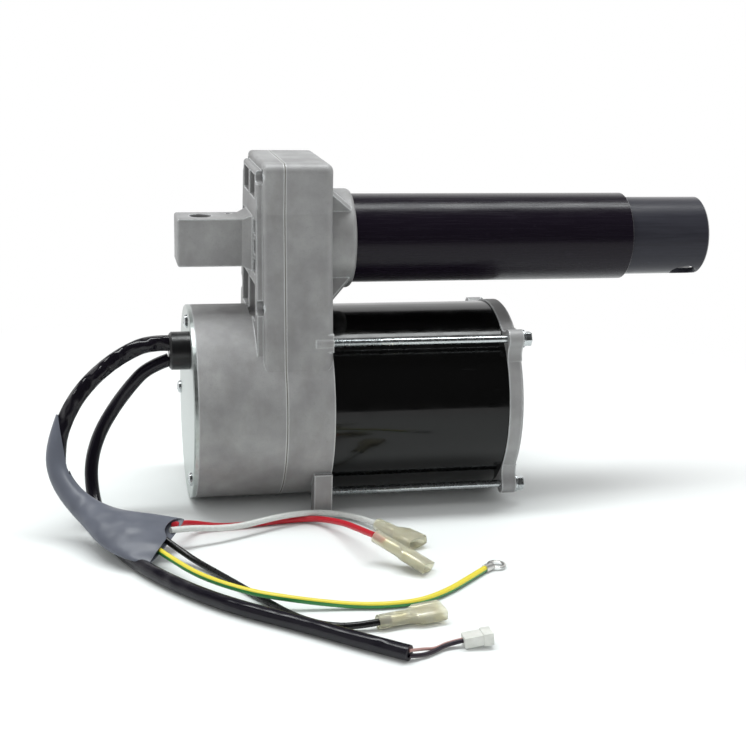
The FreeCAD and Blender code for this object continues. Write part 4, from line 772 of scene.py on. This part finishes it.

# %% [markdown]
# ## Laying the leads
# Each cord is laid with its radius on its points and its finish, and its length, measured
# along its own smooth line, is printed.

# %% Lay the leads


def lay(name, route, radius, finish, node):
    cord = lay_cord(name, route, radius)
    finish_piece(cord, finish, "case", [node])
    length_of(cord)
    print(name, round(length_of(cord) * 1000, 1), "mm")
    return cord


# The two thin wires that leave the sensor sleeve are too short to be cords of their own, so they
# are turned into meshes and ride on the case, as their connector does.
def fine_wire(name, route, radius, finish, stands_for=()):
    wire = lay_cord(name, route, radius)
    take(wire)
    bpy.ops.object.convert(target="MESH")
    wire = bpy.context.object
    smooth(wire)
    return finish_piece(wire, finish, "case", stands_for)


fine_wires = [fine_wire("fine_wire_dark", FINE_WIRE_ROUTE, 0.85, plum_pvc, ["fine_wire"]),
              fine_wire("fine_wire_pink", SECOND_FINE_ROUTE, 0.6, pink_pvc)]

lay("lead_cord", LEAD_SLEEVE_ROUTE, 3.7, wrinkled_sleeve, "motor_lead_sleeve")
lay("sensor_cord", SENSOR_SLEEVE_ROUTE, 3.1, plain_sleeve, "sensor_lead_sleeve")
lay("white_cord", WHITE_ROUTE, WIRE_RADIUS, white_pvc, "white_wire")
lay("red_cord", RED_ROUTE, WIRE_RADIUS, red_pvc, "red_wire")
lay("black_cord", BLACK_ROUTE, WIRE_RADIUS, black_pvc, "black_wire")
lay("earth_cord", EARTH_ROUTE, WIRE_RADIUS, earth_pvc, "earth_wire")

# %% [markdown]
# ## Cast aluminium
# The gearcase and the end bell are die-cast: a grey skin with a fine grain and faint flow
# marks. Their edges carry a painted highlight, a pale colour along each rim. A Bevel node finds
# those edges and softens them, as no casting has a knife edge.

# %% Cast aluminium


def cast_finish():
    finish = new_finish("cast_alloy", (0.36, 0.36, 0.36), 0.55, 0.35, Specular_IOR_Level=0.3)
    grain = noise(finish, 0.45 * MM, 4, rough=0.6)
    cloud = noise(finish, 16 * MM, 3)
    flow = noise(finish, 7 * MM, 4, (1, 1, 0.45))
    skin = mixed(finish, between(finish, flow, 0.0, 0.35, 0.50, 0.72),
                 shades(finish, cloud, (0.265, 0.262, 0.265), (0.375, 0.375, 0.375)),
                 (0.23, 0.225, 0.215))
    pits = between(finish, grain, 0.0, 0.5, 0.44, 0.30)
    pitted = mixed(finish, pits, skin, (0.22, 0.22, 0.22))
    # Painted highlight: a pale grey colour along each sharp edge stands in for the light the rims
    # catch; roughness is also lower there.
    painted_edge_highlight = edge_share(finish, 1.3 * MM)
    colour_by(finish, mixed(finish, painted_edge_highlight, pitted, (0.74, 0.76, 0.77)))
    rough_by(finish, between(finish, painted_edge_highlight, 0.56, 0.36))
    soft = add(finish, "Bevel", samples=6, Radius=0.6 * MM)
    normal_by(finish, relief(finish, grain, 0.07 * MM,
                             relief(finish, cloud, 0.15 * MM, soft.outputs["Normal"])))
    return finish


cast_alloy = cast_finish()
dress(cast_alloy, "gearcase_rear", "gearcase_front", "end_bell")
print("castings dressed")

# %% [markdown]
# ## Black enamel and black paint
# The motor's shell is enamelled: deep black with a coat like glass, fine scratches and a little
# dust. The guide tube is satin, and the ram that slides in it has a bluer, softer sheen.

# %% Black finishes


def enamel_finish():
    finish = new_finish("black_enamel", (0.002, 0.002, 0.002), 0.12, Specular_IOR_Level=0.22,
                        Coat_Weight=0.25, Coat_Roughness=0.05)
    scratches = noise(finish, 1.6 * MM, 6, (0.06, 1.0, 1.0), 0.7)
    lines = between(finish, scratches, 0.0, 1.0, 0.68, 0.74)
    dust = noise(finish, 9 * MM, 5)
    colour_by(finish, mixed(finish, lines, (0.002, 0.002, 0.002), (0.03, 0.03, 0.032)))
    rough_by(finish, between(finish, dust, 0.08, 0.20, 0.35, 0.7))
    normal_by(finish, relief(finish, noise(finish, 30 * MM, 2), 0.25 * MM))
    return finish


def satin_finish(name, colour, rough, sheen):
    finish = new_finish(name, colour, rough, Specular_IOR_Level=0.2, Sheen_Weight=sheen,
                        Sheen_Roughness=0.3)
    streaks = noise(finish, 1.1 * MM, 5, (0.05, 1.0, 1.0), 0.65)
    marks = between(finish, noise(finish, 6 * MM, 6, rough=0.7), 0.0, 0.6, 0.62, 0.74)
    pale = tuple(c * 2.2 + 0.01 for c in colour)
    colour_by(finish, mixed(finish, marks, shades(finish, streaks, colour,
                                                  tuple(c * 1.4 for c in colour)), pale))
    rough_by(finish, between(finish, streaks, rough - 0.06, rough + 0.10, 0.3, 0.7))
    normal_by(finish, relief(finish, streaks, 0.015 * MM))
    return finish


black_enamel = enamel_finish()
guide_paint = satin_finish("guide_paint", (0.005, 0.003, 0.007), 0.24, 0.5)
ram_paint = satin_finish("ram_paint", (0.020, 0.020, 0.027), 0.36, 0.8)
dress(black_enamel, "stator_shell")
dress(guide_paint, "guide_tube")
dress(ram_paint, "ram_tube")
print("black finishes are on")

# %% [markdown]
# ## Steels, bronze and the inner pieces
# The inside is dressed as carefully, because the model can be opened: ground shafts, oiled
# gears, stacked laminations whose edges show as fine lines, copper end turns and bronze bushes.

# %% Metals


def metal_finish(name, colour, rough, grain, depth):
    finish = new_finish(name, colour, rough, 1.0)
    lines = noise(finish, grain)
    colour_by(finish, shades(finish, lines, tuple(c * 0.82 for c in colour), colour))
    rough_by(finish, between(finish, lines, rough - 0.07, rough + 0.10, 0.3, 0.7))
    soft = add(finish, "Bevel", samples=4, Radius=0.15 * MM)
    normal_by(finish, relief(finish, lines, depth, soft.outputs["Normal"]))
    return finish


def layered_finish():
    """Sheet steel stacked along the shaft."""
    finish = new_finish("laminations", (0.20, 0.20, 0.21), 0.45, 0.9)
    sheets = add(finish, "TexWave", Scale=160.0, Distortion=0.4, bands_direction="X")
    wire_up(finish, object_place(finish), sheets.inputs["Vector"])
    colour_by(finish, shades(finish, sheets.outputs["Fac"], (0.09, 0.09, 0.10),
                             (0.27, 0.27, 0.28)))
    normal_by(finish, relief(finish, sheets.outputs["Fac"], 0.05 * MM))
    return finish


def winding_finish():
    """Turns of enamelled wire that run round the end of the stator."""
    finish = new_finish("copper_turns", (0.50, 0.19, 0.07), 0.35, 0.85)
    turns = noise(finish, 1.0 * MM, 4, (1.0, 0.25, 0.25))
    colour_by(finish, shades(finish, turns, (0.24, 0.08, 0.03), (0.60, 0.25, 0.10)))
    normal_by(finish, relief(finish, turns, 0.5 * MM))
    return finish


ground_steel = metal_finish("ground_steel", (0.55, 0.55, 0.56), 0.25, 0.8 * MM, 0.01 * MM)
gear_steel = metal_finish("gear_steel", (0.36, 0.36, 0.38), 0.34, 0.7 * MM, 0.03 * MM)
zinc_plate = metal_finish("zinc_plate", (0.62, 0.65, 0.66), 0.24, 2.5 * MM, 0.006 * MM)
cover_plate = metal_finish("cover_plate", (0.58, 0.62, 0.605), 0.36, 2.0 * MM, 0.02 * MM)
oiled_bronze = metal_finish("oiled_bronze", (0.50, 0.33, 0.15), 0.36, 0.5 * MM, 0.04 * MM)
cast_rotor = metal_finish("cast_rotor", (0.58, 0.58, 0.59), 0.42, 1.2 * MM, 0.08 * MM)
laminations = layered_finish()
copper_turns = winding_finish()
dress(ground_steel, "rotor_shaft", "first_idler_shaft", "second_idler_shaft", "wave_washer",
      "screw_rear_bearing", "screw_front_bearing", "rotor_front_bearing", "rotor_rear_bearing")
dress(gear_steel, "motor_pinion", "first_idler_gear", "first_idler_pinion", "second_idler_gear",
      "second_idler_pinion", "screw_gear", "screw_gear_key", "nut_pins")
dress(cover_plate, "rear_cover")
dress(oiled_bronze, "first_shaft_bushes", "second_shaft_bushes", "drive_nut")
dress(cast_rotor, "rotor_end_rings")
dress(laminations, "rotor_core", "stator_core")
dress(copper_turns, "stator_windings")
print("metals are on")

# %% Inner plastics


def plastic_finish(name, colour, rough, grain=1.5 * MM, depth=0.03 * MM):
    finish = new_finish(name, colour, rough)
    cloud = noise(finish, grain, 4)
    colour_by(finish, shades(finish, cloud, tuple(c * 0.8 for c in colour), colour))
    rough_by(finish, between(finish, cloud, rough - 0.06, rough + 0.08))
    normal_by(finish, relief(finish, cloud, depth))
    return finish


board_mask = plastic_finish("board_mask", (0.02, 0.16, 0.06), 0.3)
ferrite = plastic_finish("ferrite", (0.05, 0.05, 0.055), 0.55, 0.8 * MM, 0.05 * MM)
bracket_nylon = plastic_finish("bracket_nylon", (0.07, 0.07, 0.07), 0.5)
gasket_fibre = plastic_finish("gasket_fibre", (0.16, 0.15, 0.13), 0.8, 0.6 * MM, 0.08 * MM)
entry_rubber = plastic_finish("entry_rubber", (0.005, 0.005, 0.006), 0.32, 3.0 * MM, 0.10 * MM)
dress(board_mask, "sensor_board")
dress(ferrite, "sensor_magnet")
dress(bracket_nylon, "sensor_bracket")
dress(gasket_fibre, "case_gasket")
dress(entry_rubber, "cable_grommet")
dress(plain_sleeve, "inner_leads")
print("inner plastics are on")

# %% [markdown]
# ## Tie bolts
# Four long bolts clamp the motor between the gearcase and the end bell. The ends that screw into
# the gearcase carry about thirty millimetres of rolled thread, the rest is plain bright rod, and
# each head bears on a washer. One bolt is built whole and copied to the other corners.

# %% Tie bolts
AXIS_GAP, PITCH_Y = 78.5, 35.99
THREAD_FROM, THREAD_TO, UNDER_HEAD = 51.5, 80.5, 148.5
THREAD_RADIUS, CORE_RADIUS, SHANK_RADIUS = 2.0, 1.5, 1.75
CORNERS = [(y, -AXIS_GAP + z) for y in (-PITCH_Y, PITCH_Y) for z in (PITCH_Y, -PITCH_Y)]


def tie_bolt(name, y, z):
    step = 0.4
    rod = turned(name + "_rod", [
        (THREAD_FROM + step, 0), (THREAD_FROM + step, CORE_RADIUS),
        (THREAD_TO - step, CORE_RADIUS), (THREAD_TO + step, SHANK_RADIUS),
        (UNDER_HEAD, SHANK_RADIUS), (UNDER_HEAD, 0)], y, z, 24)
    smooth(rod)
    thread = threaded(name + "_thread", THREAD_RADIUS, 0.42, 0.7, THREAD_FROM, THREAD_TO, y, z)
    head = hex_head(name + "_head", 6.3, UNDER_HEAD - 0.1, UNDER_HEAD + 3.4, y, z)
    return joined(name, [rod, thread, head])


def copies_at(first, places, stem):
    """Copies of a piece, each with its own mesh, moved from the first place to the others."""
    made = [first]
    for number, (y, z) in enumerate(places[1:], 2):
        copy = first.copy()
        copy.data = first.data.copy()
        bpy.context.scene.collection.objects.link(copy)
        copy.location = (0, (y - places[0][0]) * MM, (z - places[0][1]) * MM)
        made.append(settle(copy, f"{stem}_{number}"))
    return made


bolts = copies_at(tie_bolt("tie_bolt_1", *CORNERS[0]), CORNERS, "tie_bolt")
for number, bolt in enumerate(bolts):
    finish_piece(bolt, zinc_plate, "case", ["tie_bolts"] if number == 0 else ())


def washer(name, y, z):
    back, bore, rim, edge = UNDER_HEAD - 1, 2.0, 4.3, 0.2
    piece = turned(name, [
        (back, bore), (back, rim - edge), (back + edge, rim), (UNDER_HEAD - edge, rim),
        (UNDER_HEAD, rim - edge), (UNDER_HEAD, bore), (back, bore)], y, z, 40)
    smooth(piece, 30)
    return piece


washers = copies_at(washer("tie_washer_1", *CORNERS[0]), CORNERS, "tie_washer")
for number, ring in enumerate(washers):
    finish_piece(ring, zinc_plate, "case", ["tie_washers"] if number == 0 else ())
print(len(bolts), "tie bolts,", len(bolts[0].data.polygons), "faces each")

# %% [markdown]
# ## Screws of the case and of the rear cover
# Pan heads with a cross recess. The head is a turned dome, and two thin blocks cut the cross.

# %% Case and cover screws
CASE_SCREWS = [(26.2, 32.6, 27.9), (-26.2, 32.6, 27.9), (31.75, -26.5, 27.9),
               (-31.75, -26.5, 27.9), (29.57, -103.31, 29.5), (-29.57, -103.31, 29.5)]
COVER_FACE, COVER_CIRCLE, SLOT_TURN = -7.0, 41.2, 0.4


def cross_head(name, seat, radius, height, shank, reach, y, z):
    top = seat - height
    piece = turned(name, [
        (top, 0), (top, radius * 0.45), (top + height * 0.12, radius * 0.72),
        (top + height * 0.4, radius * 0.95), (top + height * 0.7, radius), (seat, radius),
        (seat, shank), (seat + reach, shank), (seat + reach, 0)], y, z, 32)
    slots = [block(name + "_slot", (top, y, z), (1.3, radius * 1.15, 0.62), turn + SLOT_TURN)
             for turn in (0, math.pi / 2)]
    for slot in slots:
        cut = piece.modifiers.new("recess", "BOOLEAN")
        cut.operation = "DIFFERENCE"
        cut.solver = "EXACT"
        cut.object = slot
        apply_all(piece)
        bpy.data.objects.remove(slot, do_unlink=True)
    smooth(piece, 35)
    return piece


def screw_set(stem, places, radius, height, shank, reach, node):
    for number, (y, z, seat) in enumerate(places, 1):
        piece = cross_head(f"{stem}_{number}", seat, radius, height, shank, reach, y, z)
        finish_piece(piece, zinc_plate, "case", [node] if number == 1 else ())
    print(len(places), stem)


COVER_TURNS = [math.radians(turn) for turn in (-8, -136, -264)]
COVER_SCREWS = [(COVER_CIRCLE * math.sin(a), COVER_CIRCLE * math.cos(a) - AXIS_GAP, COVER_FACE)
                for a in COVER_TURNS]
screw_set("case_screw", CASE_SCREWS, 3.2, 2.4, 1.85, 18.4, "case_screws")
screw_set("cover_screw", COVER_SCREWS, 3.2, 1.8, 1.4, 9.9, "rear_cover_screws")

# %% [markdown]
# ## The lead screw
# Its trapezoidal thread gives five millimetres of travel for each turn. The engineering solid
# leaves the thread plain, so here the screw is built again with its real helix.

# %% Lead screw
SCREW_PROFILE = [
    (24.7, 0), (24.7, 6.0), (32.8, 6.0), (32.8, 10.0), (45.7, 10.0), (45.7, 8.5),
    (51.7, 8.5), (51.7, 7.5), (63.3, 7.5), (63.3, 7.6), (203.3, 7.6), (203.3, 0)]


def lead_screw():
    core = turned("screw_core", SCREW_PROFILE, 0, 0, 48)
    smooth(core, 35)
    thread = threaded("screw_thread", 9.95, 2.3, 5.0, 64.0, 203.2, 0, 0, 48, 0.8)
    return joined("lead_screw_turned", [core, thread])


screw = finish_piece(lead_screw(), ground_steel, "screw", ["lead_screw"])
print("lead screw has", len(screw.data.polygons), "faces")

# %% [markdown]
# ## Bench and light
# A white bench, one long soft light above and slightly behind, which draws a bright line along
# each black tube, and two weak ones at the sides. Far from the motor the bench fades to the pure
# white of the studio, and close to it the bench keeps the shadow.

# %% Bench
DRUM_RADIUS = 46.4
FLOOR = -AXIS_GAP - DRUM_RADIUS
FADE_FROM, FADE_TO = 0.17, 0.45


def bench_finish():
    """A pale bench that turns pure white away from the motor, for the eye and in reflections."""
    finish = new_finish("bench_white", (0.74, 0.765, 0.76), 0.6, Specular_IOR_Level=0.2)
    place = add(finish, "TexCoord")
    centre = add(finish, "Mapping")
    centre.inputs["Location"].default_value = (-0.05, 0.06, 0)
    wire_up(finish, place.outputs["Object"], centre.inputs["Vector"])
    reach = add(finish, "VectorMath", operation="LENGTH")
    wire_up(finish, centre.outputs["Vector"], reach.inputs[0])
    far = between(finish, reach.outputs["Value"], 0.0, 1.0, FADE_FROM, FADE_TO)
    share = reckon(finish, "MULTIPLY", far, seen_by(finish, "Camera", "Transmission", "Glossy"))
    glow = add(finish, "Emission")
    blend = add(finish, "MixShader")
    wire_up(finish, share, blend.inputs["Fac"])
    wire_up(finish, shader_of(finish).outputs["BSDF"], blend.inputs[1])
    wire_up(finish, glow.outputs["Emission"], blend.inputs[2])
    surface = finish.node_tree.nodes["Material Output"].inputs["Surface"]
    wire_up(finish, blend.outputs["Shader"], surface)
    return finish


def make_bench():
    let_go()
    bpy.ops.mesh.primitive_plane_add(size=1.8, location=(0.05, 0, FLOOR * MM - 0.0002))
    bench = settle(bpy.context.object, "bench")
    bench.data.materials.append(bench_finish())
    return bench


bench = make_bench()
print("bench is", [round(v, 2) for v in bench.dimensions], "m")

# %% Lights


def soft_light(name, place, size, power, colour=(1, 1, 1), toward=(0.05, 0.0, -0.05)):
    data = bpy.data.lights.new(name, "AREA")
    data.shape = "RECTANGLE"
    data.size, data.size_y = size
    data.energy = power
    data.color = colour
    light = bpy.data.objects.new(name, data)
    bpy.context.scene.collection.objects.link(light)
    light.location = place
    light.rotation_euler = (Vector(toward) - Vector(place)).to_track_quat("-Z", "Y").to_euler()
    print(name, power, "W")


soft_light("over_light", (0.05, 0.10, 1.05), (1.4, 0.26), 14, (0.97, 1, 1), (0.06, 0.0, -0.05))
soft_light("left_light", (-1.1, -0.5, 0.5), (0.8, 1.0), 0.8)
soft_light("right_light", (1.2, -0.5, 0.4), (0.8, 1.0), 0.4)

# %% [markdown]
# The studio round the bench is white to the eye. In reflections it is a white wall behind and
# beside the motor, with a dark ceiling and a dark room in front, which gives the enamel its deep
# black between bright lines. For soft, diffuse light it is even all round.

# %% Studio
UP_AND_FORWARD = (0, -0.6, 1)
WALL_TOP, CEILING_FROM = 0.05, 0.35
CEILING_LIGHT, EVEN_LIGHT = 0.06, 0.76


def make_studio():
    world = bpy.data.worlds.new("studio")
    bpy.context.scene.world = world
    world.use_nodes = True
    studio = world.node_tree.nodes["Background"]
    studio.inputs["Color"].default_value = (1, 1, 1, 1)
    way = add(world, "TexCoord")
    height = add(world, "VectorMath", operation="DOT_PRODUCT")
    height.inputs[1].default_value = UP_AND_FORWARD
    wire_up(world, way.outputs["Generated"], height.inputs[0])
    wall = between(world, height.outputs["Value"], 1.0, CEILING_LIGHT, WALL_TOP, CEILING_FROM)
    even = reckon(world, "MULTIPLY", seen_by(world, "Diffuse"), EVEN_LIGHT)
    seen = reckon(world, "MAXIMUM", seen_by(world, "Camera", "Transmission"), wall)
    wire_up(world, reckon(world, "MAXIMUM", seen, even), studio.inputs["Strength"])


make_studio()
bpy.context.scene.view_settings.view_transform = "Standard"
print("bench and lights are up")
